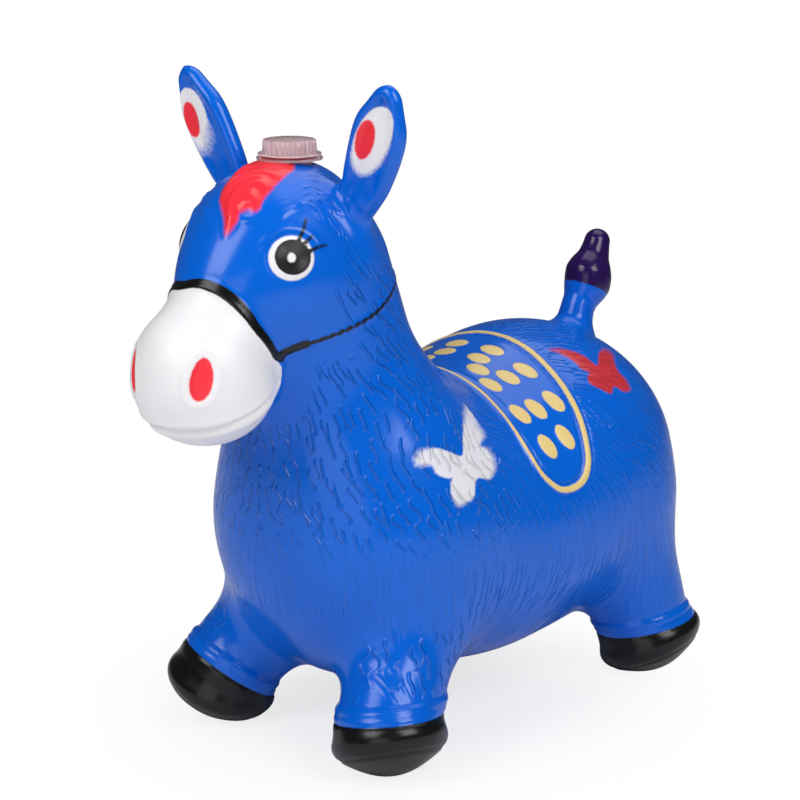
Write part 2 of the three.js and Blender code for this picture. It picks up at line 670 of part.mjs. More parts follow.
function boardGeometry() {
  return geometryOf(bossPlaces.reduce((board, [x, y]) => {
    const drill = bar(SCREW_RADIUS + GAP, 3 * BOARD_THICKNESS, SMALL_SIDES);
    return board.subtract(solid(at(drill, x, y, boardFoot - BOARD_THICKNESS)));
  }, solid(at(bar(boardRadius, BOARD_THICKNESS), 0, 0, boardFoot))));
}

function ledGeometry() {
  const rim = LED_RADIUS + LED_RIM;
  const section = [[0, 0], [rim, 0], [rim, LED_RIM_HEIGHT], [LED_RADIUS, LED_RIM_HEIGHT]];
  const shoulder = LED_HEIGHT - LED_RADIUS;
  for (let step = 0; step < LED_DOME_STEPS; step += 1) {
    const angle = step / LED_DOME_STEPS * Math.PI / 2;
    section.push([LED_RADIUS * Math.cos(angle), shoulder + LED_RADIUS * Math.sin(angle)]);
  }
  section.push([0, LED_HEIGHT]);
  return turned(section, SMALL_SIDES);
}

function buzzerGeometry() {
  const portFloor = BUZZER_HEIGHT - BUZZER_PORT_DEPTH;
  return turned([
    [0, 0], [BUZZER_RADIUS, 0], [BUZZER_RADIUS, BUZZER_HEIGHT], [BUZZER_PORT_RADIUS, BUZZER_HEIGHT],
    [BUZZER_PORT_RADIUS, portFloor], [0, portFloor],
  ], CELL_SIDES);
}

function switchGeometry() {
  return at(bar(SWITCH_RADIUS, SWITCH_LENGTH, CELL_SIDES), 0, 0, -SWITCH_LENGTH / 2).rotateY(Math.PI / 2);
}

function screwGeometry() {
  return turned([
    [0, -SCREW_LENGTH], [SCREW_RADIUS, -SCREW_LENGTH], [SCREW_RADIUS, 0], [SCREW_HEAD_RADIUS, 0],
    [SCREW_HEAD_RADIUS, SCREW_HEAD_HEIGHT], [0, SCREW_HEAD_HEIGHT],
  ], SMALL_SIDES);
}

// Air plug: a tapered stopper with a flat head, its head under the seat
function plugGeometry() {
  return turned([
    [0, -GAP - PLUG_HEAD_THICKNESS], [PLUG_HEAD_RADIUS, -GAP - PLUG_HEAD_THICKNESS],
    [PLUG_HEAD_RADIUS, -GAP], [PLUG_RADIUS, -GAP], [PLUG_TIP_RADIUS, PLUG_LENGTH], [0, PLUG_LENGTH],
  ]);
}

// Finishes
function finish(color, roughness, metalness = 0) {
  return new THREE.MeshStandardMaterial({ color, roughness, metalness });
}

const SKIN_BLUE = finish(0x1450c8, 0.3);
const TAIL_PURPLE = finish(0x3c1e64, 0.3);
const HOOF_BLACK = finish(0x0c0c0e, 0.25);
const CLEAR_PLASTIC = finish(0xe8d8d8, 0.2);
const WHITE_PLASTIC = finish(0xf0f0ee, 0.4);
const RUBBER = finish(0xd8d4cc, 0.7);
const BRASS = finish(0xc8a050, 0.35, 1);
const STEEL = finish(0xb8bcc0, 0.3, 1);
const BOARD_GREEN = finish(0x1f6a3a, 0.5);
const LED_RED = finish(0xff3a3a, 0.15);
const BLACK_PLASTIC = finish(0x18181a, 0.5);

// Assembly
const horseGroup = new THREE.Group();
const unit = new THREE.Group();
unit.position.set(0, UNIT_Y, unitSeat);
horseGroup.add(unit);

function piece(name, geometry, material, parent = horseGroup, place = [0, 0, 0]) {
  const mesh = new THREE.Mesh(geometry, material);
  mesh.name = name;
  mesh.position.set(...place);
  parent.add(mesh);
}

function pair(suffix, prefix, geometry, material) {
  piece(`${prefix}left_${suffix}`, geometry, material);
  piece(`${prefix}right_${suffix}`, mirrored(geometry), material);
}

piece('body_skin', bodyGeometry(), SKIN_BLUE);
pair('ear', '', earGeometry(), SKIN_BLUE);
piece('tail', tailGeometry(), TAIL_PURPLE);
for (const [prefix, limb] of [['front_', FRONT_LEG], ['rear_', REAR_LEG]]) {
  const pieces = legPieces(limb);
  pair('leg', prefix, pieces.sleeve, SKIN_BLUE);
  pair('hoof', prefix, pieces.hoof, HOOF_BLACK);
}

piece('unit_cup', cupGeometry(), CLEAR_PLASTIC, unit);
piece('cap_seal', sealGeometry(), RUBBER, unit);
piece('unit_cap', capGeometry(), CLEAR_PLASTIC, unit);
piece('lower_contact', contactGeometry(lowerContact), BRASS, unit);
piece('upper_contact', contactGeometry(upperContact), BRASS, unit);
piece('circuit_board', boardGeometry(), BOARD_GREEN, unit);
const cellCircle = (2 * CELL_RADIUS + CELL_SPACING) / Math.sqrt(3);
for (let i = 0; i < CELL_COUNT; i += 1) {
  const angle = Math.PI / 2 + i * 2 * Math.PI / CELL_COUNT;
  const [x, y] = [Math.cos(angle), Math.sin(angle)];
  piece(`button_cell_${i + 1}`, cellGeometry(), STEEL, unit, [cellCircle * x, cellCircle * y, cellFoot]);
  const ledPlace = [LED_CIRCLE_RADIUS * x, LED_CIRCLE_RADIUS * y, boardTop + GAP];
  piece(`led_${i + 1}`, ledGeometry(), LED_RED, unit, ledPlace);
}
piece('buzzer', buzzerGeometry(), BLACK_PLASTIC, unit, [0, 0, boardTop + GAP]);
piece('motion_switch', switchGeometry(), BLACK_PLASTIC, unit, [0, SWITCH_Y, boardTop + GAP + SWITCH_RADIUS]);
bossPlaces.forEach(([x, y], i) => {
  piece(`board_screw_${i + 1}`, screwGeometry(), STEEL, unit, [x, y, boardTop + GAP]);
});
piece('air_plug', plugGeometry(), WHITE_PLASTIC, horseGroup, [0, PLUG_Y, plugSeat]);

// Centre the horse along Y over the origin
const extent = new THREE.Box3().setFromObject(horseGroup);
horseGroup.position.y = -(extent.min.y + extent.max.y) / 2;

export default horseGroup;
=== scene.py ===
"""Bouncy horse hopper: the look of the skin, its paint and relief, and the cap in its crown."""
import math
from functools import partial

import bmesh
import bpy
import numpy as np
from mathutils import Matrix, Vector


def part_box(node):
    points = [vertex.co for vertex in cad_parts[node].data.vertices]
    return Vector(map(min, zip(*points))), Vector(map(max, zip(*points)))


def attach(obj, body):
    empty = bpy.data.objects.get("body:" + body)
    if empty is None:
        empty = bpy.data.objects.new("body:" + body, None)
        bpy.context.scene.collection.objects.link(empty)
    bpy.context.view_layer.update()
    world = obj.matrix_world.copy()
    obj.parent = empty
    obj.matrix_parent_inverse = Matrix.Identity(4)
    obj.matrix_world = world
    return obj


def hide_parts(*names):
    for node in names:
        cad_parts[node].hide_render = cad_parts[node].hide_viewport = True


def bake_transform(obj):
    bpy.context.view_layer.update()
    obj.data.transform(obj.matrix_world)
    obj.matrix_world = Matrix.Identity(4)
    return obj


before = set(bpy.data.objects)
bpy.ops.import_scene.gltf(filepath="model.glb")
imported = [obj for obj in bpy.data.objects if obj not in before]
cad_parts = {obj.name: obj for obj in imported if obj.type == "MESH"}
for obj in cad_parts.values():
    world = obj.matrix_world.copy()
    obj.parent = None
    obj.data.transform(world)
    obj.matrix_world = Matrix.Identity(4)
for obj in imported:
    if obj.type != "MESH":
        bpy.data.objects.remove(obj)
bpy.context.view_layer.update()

MM = 0.001
HANDS = (("left", 1), ("right", -1))

# The form, in millimetres: y runs back from the front hooves' middle, z up from the floor
UNIT_Y = -20.0

# Round masses by centre, radii and pitch, and the neck by the centre and radius of each end
BARREL = ((0, 178, 165), (133, 182, 130), 0)
CHEST = ((0, 49, 187), (126, 108, 136), 0)
RUMP = ((0, 274, 190), (139, 132, 129), 0)
HEAD = ((0, -43, 424), (66, 69, 64), -25)
CROWN = ((0, -24, 458), (46, 46, 37), 0)
BRIDGE = ((0, -79, 388), (46, 50, 46), -30)
MUZZLE = ((0, -118, 342), (53, 55, 53), 20)
JAW = ((0, -115, 322), (50, 45, 37), 0)
NECK = ((0, 32, 276), 78, (0, -10, 400), 74)
ANKLE_RADIUS = 42
HOOF_RADIUS = 43
HOOF_FLARE = 5.5
HOOF_SWELL_TURN = 0.75
HOOF_SWELL_ENDS = (-0.2, 1.25)
HOOF_WALL = 25
HOOF_ROOT = 6
SOLE_DEPTH = 15
SOLE_EDGE = 7
SOLE_PRESS = 1.6
LEG_SLEEVE = 32
EAR_ROOT = np.array((69, -8, 453), np.float32)
EAR_TIP = np.array((116, -26, 565), np.float32)
EAR_PROFILE = ((0, 0.52), (0.14, 0.7), (0.27, 0.84), (0.5, 0.94), (0.68, 0.9), (0.83, 0.61), (1, 0.26))
EAR_BENDS = (8.0, 3.0)
EAR_HALF_WIDTH = 26
EAR_HALF_THICKNESS = 14
EAR_THINNING = 0.7
EAR_ROOT_DEPTH = 30
EAR_END_EDGE = 14
TAIL = (((0, 345, 302), 19), ((0, 351, 320), 14), ((0, 365, 341), 20), ((0, 367, 352), 19.6),
        ((0, 374.5, 367), 12.0), ((0, 378.5, 378.5), 12.0))
FILLETS = {
    "rump": 40, "chest": 50, "neck": 50, "jaw": 20, "crown": 20, "bridge": 35, "nose": 22, "head": 30,
    "leg": 34, "hoof": 5, "ear": 16, "tail": 14, "tail_lengths": 6,
}

low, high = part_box("unit_cup")
SHIFT_Y = 0.5 * (low.y + high.y) / MM - UNIT_Y


def metres(points):
    return (np.asarray(points, np.float64) + (0, SHIFT_Y, 0)) * MM


def unit(v):
    v = np.asarray(v, np.float32)
    return v / np.linalg.norm(v)


def ellipsoid(p, shape):
    centre, radii, pitch = shape
    q = p - np.asarray(centre, np.float32)
    c, s = math.cos(math.radians(pitch)), math.sin(math.radians(pitch))
    q = np.stack([q[:, 0], c * q[:, 1] + s * q[:, 2], c * q[:, 2] - s * q[:, 1]], 1)
    r = np.asarray(radii, np.float32)
    reach = np.linalg.norm(q / r, axis=1)
    slope = np.linalg.norm(q / (r * r), axis=1)
    return reach * (reach - 1) / np.maximum(slope, 1e-6)


def taper(p, a, ra, b, rb):
    a, b = np.asarray(a, np.float32), np.asarray(b, np.float32)
    run = b - a
    t = np.clip((p - a) @ run / (run @ run), 0, 1)
    return np.linalg.norm(p - a - t[:, None] * run, axis=1) - (ra + t * (rb - ra))


def join(a, b, fillet):
    h = np.maximum(fillet - np.abs(a - b), 0) / fillet
    return np.minimum(a, b) - h * h * fillet * 0.25


def meet(a, b, fillet):
    return -join(-a, -b, fillet)


def smooth(x, a, b):
    """0 up to a, rising to 1 at b."""
    t = np.clip((x - a) / (b - a), 0, 1)
    return t * t * (3 - 2 * t)


def fall(x, a, b):
    """1 up to a, falling to 0 at b."""
    return smooth(-x, -b, -a)


def ridge(x, centre, width):
    return np.exp(-((x - centre) / width) ** 2)


def between(x, ends):
    return (x > ends[0]) & (x < ends[1])


def rounded(points, closed=True, steps=8):
    """A smooth line through points."""
    points = np.asarray(points, float)
    n = len(points)
    out = []
    for i in range(n if closed else n - 1):
        pick = [(i + o) % n if closed else min(max(i + o, 0), n - 1) for o in (-1, 0, 1, 2)]
        a, b, c, d = points[pick]
        for t in np.arange(steps) / steps:
            out.append(0.5 * (2 * b + (c - a) * t + (2 * a - 5 * b + 4 * c - d) * t ** 2
                              + (3 * b - a - 3 * c + d) * t ** 3))
    out.append(out[0] if closed else points[-1])
    return np.array(out)


SOLE_RADIUS = (HOOF_RADIUS ** 2 + SOLE_DEPTH ** 2) / (2 * SOLE_DEPTH)
SOLE_CENTRE = HOOF_WALL + SOLE_DEPTH - SOLE_RADIUS


def limb(hip, hip_radius, ankle, splay):
    axis = unit(splay)
    height = SOLE_RADIUS - SOLE_PRESS - axis[2] * SOLE_CENTRE
    ankle = np.array([*ankle, height], np.float32)
    return {"hip": hip, "hip_radius": hip_radius, "axis": axis, "ankle": ankle}


LIMBS = {
    "front": limb((65, 50, 113), 44, (96, -10), (0.38, -0.18, -1)),
    "rear": limb((78, 307, 153), 49, (100, 331), (0.37, 0.22, -1)),
}
EAR_LINE = unit(EAR_TIP - EAR_ROOT)
EAR_LENGTH = float(np.linalg.norm(EAR_TIP - EAR_ROOT))
EAR_FRONT = np.array((0.16, -1, 0.1), np.float32)
EAR_FRONT = unit(EAR_FRONT - EAR_FRONT @ EAR_LINE * EAR_LINE)
EAR_SIDE = np.cross(EAR_LINE, EAR_FRONT)
EAR_CURVE = rounded(EAR_PROFILE, closed=False)


def ear_share(up):
    """Share of the ear's greatest width at a height up its line."""
    share = np.interp(np.clip(up / EAR_LENGTH, 0, 1), EAR_CURVE[:, 0], EAR_CURVE[:, 1])
    return share.astype(np.float32)


def left(p):
    """The point's mirror image on the left side."""
    return np.stack([np.abs(p[:, 0]), p[:, 1], p[:, 2]], 1)


def from_axis(p, y):
    """Distance from a standing axis in the middle plane."""
    return np.hypot(p[:, 0], p[:, 1] - y)


def down_limb(m, leg):
    """Distance down the hoof's own line from the ankle, and out from that line."""
    q = m - leg["ankle"]
    u = q @ leg["axis"]
    return u, np.linalg.norm(q - u[:, None] * leg["axis"], axis=1)


def hoof(m, leg):
    u, out = down_limb(m, leg)
    turn = np.clip(u / HOOF_WALL, *HOOF_SWELL_ENDS) * HOOF_SWELL_TURN * np.pi
    wall = out - HOOF_RADIUS - HOOF_FLARE * np.sin(turn)
    sole = np.hypot(u - SOLE_CENTRE, out) - SOLE_RADIUS
    return meet(meet(wall, sole, SOLE_EDGE), -u - HOOF_ROOT, HOOF_ROOT)


def nose(p):
    return join(ellipsoid(p, MUZZLE), ellipsoid(p, JAW), FILLETS["jaw"])


def trunk(p):
    m = left(p)
    skin = join(ellipsoid(m, BARREL), ellipsoid(m, RUMP), FILLETS["rump"])
    skin = join(skin, ellipsoid(m, CHEST), FILLETS["chest"])
    skin = join(skin, taper(m, *NECK), FILLETS["neck"])
    skull = join(ellipsoid(m, HEAD), ellipsoid(m, CROWN), FILLETS["crown"])
    face = join(skull, ellipsoid(m, BRIDGE), FILLETS["bridge"])
    skin = join(skin, join(face, nose(m), FILLETS["nose"]), FILLETS["head"])
    for leg in LIMBS.values():
        shin = taper(m, leg["hip"], leg["hip_radius"], leg["ankle"], ANKLE_RADIUS)
        skin = join(skin, shin, FILLETS["leg"])
    return skin


def ear_frame(p):
    """Coordinates up, across and out of the inner face of the ear on the point's own side."""
    q = left(p) - EAR_ROOT
    up = q @ EAR_LINE
    bend = np.where(p[:, 0] > 0, *EAR_BENDS) * np.clip(1 - up / EAR_LENGTH, 0, 1) ** 2
    return up, q @ EAR_SIDE + bend.astype(np.float32), q @ EAR_FRONT


def ear(p):
    up, across, out = ear_frame(p)
    share = ear_share(up)
    k = np.hypot(across / (EAR_HALF_WIDTH * share), out / (EAR_HALF_THICKNESS * share ** EAR_THINNING))
    leaf = (k - 1) * EAR_HALF_THICKNESS * share
    return meet(leaf, np.maximum(up - EAR_LENGTH, -up - EAR_ROOT_DEPTH), EAR_END_EDGE)


def tail(p):
    skin = None
    for (a, ra), (b, rb) in zip(TAIL[:-1], TAIL[1:]):
        length = taper(p, a, ra, b, rb)
        skin = length if skin is None else join(skin, length, FILLETS["tail_lengths"])
    return skin


def horse(p):
    skin = trunk(p)
    m = left(p)
    for leg in LIMBS.values():
        skin = join(skin, hoof(m, leg), FILLETS["hoof"])
    skin = join(skin, ear(p), FILLETS["ear"])
    skin = join(skin, tail(p), FILLETS["tail"])
    return np.maximum(skin, -p[:, 2])


# Surface of the form: one vertex for each crossed grid cell, one quad for each crossed grid edge
CELL = 2.0
BLOCK = 4
BLOCK_REACH = 1.6
GRID_LOW, GRID_HIGH = (-160, -185, -9), (160, 420, 580)
ROUNDS = 4
LEAST_SLOPE = 0.25


def in_chunks(field, points, size=400000):
    parts = [field(points[i:i + size]) for i in range(0, len(points), size)]
    return np.concatenate(parts) if parts else np.zeros(0, np.float32)


def facet(field, low, high, cell):
    low = np.asarray(low, np.float32)
    span = BLOCK * cell
    counts = np.ceil((np.asarray(high) - low) / span).astype(int) + 1
    blocks = np.stack(np.meshgrid(*[np.arange(n) for n in counts], indexing="ij"), -1).reshape(-1, 3)
    centres = (low + (blocks + 0.5) * span).astype(np.float32)
    blocks = blocks[np.abs(in_chunks(field, centres)) < BLOCK_REACH * span]
    ticks = np.arange(BLOCK + 1)
    lattice = np.stack(np.meshgrid(ticks, ticks, ticks, indexing="ij"), -1).reshape(-1, 3)
    corners = low + (blocks[:, None] * BLOCK + lattice[None]).reshape(-1, 3) * np.float32(cell)
    values = in_chunks(field, corners.astype(np.float32)).reshape(-1, *[BLOCK + 1] * 3)

    def window(offset):
        x, y, z = offset
        return values[:, x:x + BLOCK, y:y + BLOCK, z:z + BLOCK]

    bits = [(x, y, z) for x in (0, 1) for y in (0, 1) for z in (0, 1)]
    inside = sum((window(b) < 0).astype(np.int8) for b in bits)
    owner, i, j, k = np.nonzero((inside > 0) & (inside < 8))
    cells = blocks[owner] * BLOCK + np.stack([i, j, k], 1)
    total = np.zeros((len(cells), 3))
    crossings = np.zeros(len(cells))
    for axis in range(3):
        for b in bits:
            if b[axis]:
                continue
            e = list(b)
            e[axis] = 1
            va, vb = window(b)[owner, i, j, k], window(e)[owner, i, j, k]
            cut = (va < 0) != (vb < 0)
            place = np.tile(np.array(b, float), (len(cells), 1))
            place[:, axis] = va / np.where(cut, va - vb, 1)
            total += np.where(cut[:, None], place, 0)
            crossings += cut
    points = low + (cells + total / crossings[:, None]) * cell

    sizes = counts * BLOCK + 1

    def number(c):
        return (c[..., 0] * sizes[1] + c[..., 1]) * sizes[2] + c[..., 2]

    order = np.argsort(number(cells))
    known = number(cells)[order]
    quads = []
    for axis in range(3):
        step = [0, 0, 0]
        step[axis] = 1
        start, stop = window((0, 0, 0)), window(step)
        owner, i, j, k = np.nonzero((start < 0) != (stop < 0))
        corner = blocks[owner] * BLOCK + np.stack([i, j, k], 1)
        u, v = np.zeros(3, int), np.zeros(3, int)
        u[(axis + 1) % 3] = 1
        v[(axis + 2) % 3] = 1
        ring = np.stack([corner - u - v, corner - v, corner, corner - u], 1)
        outward = start[owner, i, j, k] < 0
        ring[~outward] = ring[~outward][:, ::-1]
        quads.append(np.searchsorted(known, number(ring)))
    return points[order], np.concatenate(quads)


def slope_of(field, p, probe=0.25):
    ways = np.eye(3, dtype=np.float32) * probe
    return np.stack([(field(p + w) - field(p - w)) / (2 * probe) for w in ways], 1)


def settle(field, p, steps=2):
    """Points moved onto the surface along its slope."""
    for _ in range(steps):
        q = p.astype(np.float32)
        g = slope_of(field, q)
        p = p - (field(q) / np.maximum((g * g).sum(1), LEAST_SLOPE))[:, None] * g
    return p


def relax(p, quads, share=0.5):
    """Points moved a share of the way to the mean of their neighbours."""
    a = quads.ravel()
    b = np.roll(quads, -1, axis=1).ravel()
    n = np.bincount(a, minlength=len(p)) + np.bincount(b, minlength=len(p))
    mean = [np.bincount(a, p[b, i], len(p)) + np.bincount(b, p[a, i], len(p)) for i in range(3)]
    return p + share * (np.stack(mean, 1) / n[:, None] - p)


def normals_of(p, quads):
    across = np.cross(p[quads[:, 2]] - p[quads[:, 0]], p[quads[:, 3]] - p[quads[:, 1]])
    total = [np.bincount(quads.ravel(), np.repeat(across[:, i], 4), len(p)) for i in range(3)]
    total = np.stack(total, 1)
    return total / np.maximum(np.linalg.norm(total, axis=1), 1e-12)[:, None]


# Distances to drawn shapes, in millimetres
def to_line(p, line):
    """Distance to an open line of points, and the share of its length at the nearest point."""
    line = np.asarray(line, np.float64)
    best, where, done = np.full(len(p), 1e9), np.zeros(len(p)), 0.0
    for a, b in zip(line[:-1], line[1:]):
        run = b - a
        length = np.linalg.norm(run)
        if length == 0:
            continue
        t = np.clip((p - a) @ run / length ** 2, 0, 1)
        d = np.linalg.norm(p - a - t[:, None] * run, axis=1)
        near = d < best
        best[near] = d[near]
        where[near] = done + t[near] * length
        done += length
    return best, where / done


def in_outline(p, outline):
    """Signed distance to a closed outline in a plane, negative inside."""
    d, _ = to_line(p, outline)
    odd = np.zeros(len(p), bool)
    for (ax, ay), (bx, by) in zip(outline[:-1], outline[1:]):
        if ay == by:
            continue
        crosses = (ay > p[:, 1]) != (by > p[:, 1])
        odd ^= crosses & (p[:, 0] < ax + (p[:, 1] - ay) * (bx - ax) / (by - ay))
    return np.where(odd, -d, d)


def in_ellipse(u, v, a, b):
    k = np.hypot(u / a, v / b)
    s = np.hypot(u / a ** 2, v / b ** 2)
    return k * (k - 1) / np.maximum(s, 1e-6)


def chart(p, centre, away):
    """Coordinates across and up on the skin around a point, and the distance off its plane."""
    away = unit(away)
    v = np.array((0, 0, 1), np.float32)
    v = unit(v - v @ away * away)
    u = np.cross(v, away)
    q = p - np.asarray(centre, np.float32)
    return q @ u, q @ v, q @ away


# Paint and relief: each detail below adds its own to the coat
VIEWED_FROM = (0.659, -0.714, 0.237)
FAR = 40.0
PAINTS = ("purple", "white", "cream", "red", "black", "glint")
CRISP, FIRM, SOFT = 0.45, 0.5, 0.7


class Coat:
    """Paint distances by colour, each over its edge's softness, moulded height and share of hair."""

    def __init__(self, p, n):
        self.p = p
        self.n = n
        self.m = left(p)
        self.layers = {name: np.full(len(p), FAR) for name in PAINTS}
        self.height = np.zeros(len(p))
        self.fur = np.ones(len(p))

    def on(self, sign):
        return (self.p[:, 0] > 0) == (sign > 0)

    def paint(self, name, d, softness=CRISP, where=True):
        d = np.clip(np.where(where, d, FAR) / softness, -FAR, FAR)
        self.layers[name] = np.minimum(self.layers[name], d)

    def lift(self, rise, where=True):
        self.height += np.where(where, rise, 0)


# Muzzle, noseband, cheek strap and mouth: lines in the side view, as y and z
NOSEBAND = ((-66, 340), (-76, 348.5), (-84.5, 354.4), (-92.3, 363.9), (-103, 377.2), (-109.2, 388.5),
            (-115.3, 398.7), (-119.8, 405.3), (-124.1, 409.6), (-128, 411.5), (-150, 418))
BAND_HALF = 4.0
BAND_TOP = 425
BAND_DIP, DIP_ACROSS = 5, (-14, 10)
BAND_RISE, BAND_EDGE, BAND_UP = 1.3, (-1.5, 1.5), (340, 356)
BAND_END, BAND_THINNING = 350, 0.8
CHIN, CHIN_GAP, CHIN_STEEP, OFF_CHIN = (340, 352), 7, 2, 60
MUZZLE_RISE, MUZZLE_EDGE, MUZZLE_UNDER_BAND = 1.0, (-2.0, 1.5), 0.8
CHEEK_STRAP = ((-77, 352), (-61.3, 358), (-34.6, 366.6), (-6.5, 375.9), (13.4, 384.8), (34, 394), (56, 402),
               (90, 406))
STRAP_OUT, STRAP_BACK, STRAP_HEIGHTS = 20, 30, (345, 420)
STRAP_HALF, STRAP_THINNING, STRAP_SOFT = 2.0, 0.8, 0.9
STRAP_RISE, STRAP_RISE_HALF, STRAP_EDGE = 0.7, 2.5, (-1.5, 1.5)
LOOP_SHARE, LOOP_HALF = 0.13, 4.0
TWIST, TWIST_TURN, TWIST_FROM = 0.5, 0.9, (0.1, 0.3)
MOUTH = ((-180, 300.5), (-160, 301), (-141, 304.2), (-126, 309.2), (-108, 315.5), (-88, 323), (-66, 332))
MOUTH_DEPTH, MOUTH_HALF = 2.4, 1.9
LIP_RISE, LIP_OUT, LIP_HALF = 1.2, 5.5, 3.5
LIPS_END = (-9, -2)
BARE_FACE = (46, 62)


def noseband_distance(p):
    """Signed distance to the middle of the noseband, negative on the muzzle."""
    dip = BAND_DIP * fall(p[:, 0], *DIP_ACROSS)
    flat = np.stack([p[:, 1], p[:, 2] + dip], 1)
    line = rounded(NOSEBAND, closed=False)
    d, _ = to_line(flat, line)
    edge = np.interp(flat[:, 1], line[:, 1], line[:, 0])
    behind = (flat[:, 0] > edge) | (flat[:, 1] > BAND_TOP)
    below = fall(p[:, 2], *CHIN)
    chin = (nose(p) - CHIN_GAP) * below * CHIN_STEEP - OFF_CHIN * (1 - below)
    return np.maximum(np.where(behind, d, -d), chin)


def bridle(coat):
    x, y, z = coat.m.T
    side_view = coat.m[:, 1:]
    band = noseband_distance(coat.p)
    off_band = np.abs(band) - BAND_HALF
    coat.paint("white", band + BAND_HALF - MUZZLE_UNDER_BAND)
    coat.paint("black", off_band + np.maximum(0, BAND_END - z) * BAND_THINNING)
    coat.lift(BAND_RISE * fall(off_band, *BAND_EDGE) * smooth(z, *BAND_UP))
    coat.lift(MUZZLE_RISE * fall(band, *MUZZLE_EDGE))

    strap, along = to_line(side_view, rounded(CHEEK_STRAP, closed=False))
    on_cheek = ((x > STRAP_OUT) | (y > STRAP_BACK)) & between(z, STRAP_HEIGHTS)
    half = np.where(along < LOOP_SHARE, LOOP_HALF, STRAP_HALF - STRAP_THINNING * along)
    half = half + TWIST * np.sin(y * TWIST_TURN) * smooth(along, *TWIST_FROM)
    coat.paint("black", strap - half, STRAP_SOFT, on_cheek)
    coat.lift(STRAP_RISE * fall(strap - STRAP_RISE_HALF, *STRAP_EDGE), on_cheek)

    lips, _ = to_line(side_view, rounded(MOUTH, closed=False))
    on_lips = fall(band, *LIPS_END)
    coat.lift(-on_lips * MOUTH_DEPTH * ridge(lips, 0, MOUTH_HALF))
    coat.lift(on_lips * LIP_RISE * ridge(lips, LIP_OUT, LIP_HALF))
    coat.fur *= smooth(band, *BARE_FACE)


# Nostrils and eyes by side, centre and direction: the far ones sit further forward, as the head turns
NOSTRILS = ((1, (39.4, -155.0, 344.9), (0.74, -0.66, 0.12)), (-1, (29.0, -164.0, 343.5), (0.58, -0.8, 0.1)))
NOSTRIL_HALF, NOSTRIL_LEAN, NOSTRIL_TAPER = (9.6, 17.2), 0.14, 0.05
NOSTRIL_SKIN, NOSTRIL_SPREAD = 22, 0.6
NOSTRIL_DEPTH, NOSTRIL_EDGE = 2.4, (-4.5, 1.5)
NOSTRIL_RIM_RISE, NOSTRIL_RIM = 0.8, (4.2, 1.6)


def nostrils(coat):
    for sign, centre, away in NOSTRILS:
        u, v, off = chart(coat.m, centre, away)
        near = coat.on(sign) & (np.abs(off) < NOSTRIL_SKIN)
        half_width, half_height = NOSTRIL_HALF
        d = in_ellipse(u - NOSTRIL_LEAN * v, v, half_width - NOSTRIL_TAPER * v, half_height)
        coat.paint("red", d + NOSTRIL_SPREAD, SOFT, near)
        rim = NOSTRIL_RIM_RISE * ridge(d, *NOSTRIL_RIM)
        coat.lift(rim - NOSTRIL_DEPTH * fall(d, *NOSTRIL_EDGE), near)


EYES = ((1, (58.9, -77.7, 428.9), VIEWED_FROM), (-1, (49.5, -91.0, 435.0), (0.72, -0.62, 0.28)))
EYE_SKIN = 30
PUPIL_AT = (1.2, 2.4)
EYE_DISCS = (((0.2, 1.6), (17.4, 17.2)), (PUPIL_AT, (13.7, 13.6)), ((-0.2, 2.0), (3.1, 3.7)))
# Painted sheen in each pupil: the turn of its two lighter beams, and the reach where they fade in and out
SHEEN_TURN, SHEEN_FROM, SHEEN_TO = 0.5, (3, 8), (10, 15)
EYE_RISE, EYE_EDGE = 2.4, (-14, 1)
EYE_GROOVE_DEPTH, EYE_GROOVE = 0.8, (1.2, 1.4)
LID_RISE, LID, LID_FROM = 1.2, (6, 3.5), (4, 14)
LASHES = (
    ((5.5, 14.5), (9.2, 24.1), (11.2, 32), (10.9, 37)),
    ((10.8, 13.6), (14, 17.2), (17.5, 20.4)),
    ((14.6, 7.5), (19, 9.8), (23.7, 11.6), (30, 13.2)),
)
LASH_HALF, LASH_THINNING = 1.5, 0.6
LASH_POINT, LASH_END = 5, (0.75, 1.1)
LASH_SOFT, LASH_SOFTENING = 0.5, 0.6
BROW_HAIRS = (
    ((-8, 33.5), (-2.5, 38.2), (4.5, 42)),
    ((8, 45.8), (14.7, 47.4), (23, 47)),
    ((26.5, 41.6), (32.7, 39.8), (40.5, 35.5)),
    ((40.5, 50.5), (43.5, 45.5), (47.5, 41.5)),
    ((42.5, 41), (46, 37.5), (50.5, 32.5)),
    ((-40, 30.6), (-33.7, 29.7), (-27.6, 30.4), (-22.5, 34)),
)
BROW_SKIN, BROW_FROM_Z = 70, 415
BROW_RISE, BROW_HALF, BROW_START, BROW_END = 1.2, 1.3, (0, 0.25), (0.75, 1)
BARE_EYE = (18, 38)


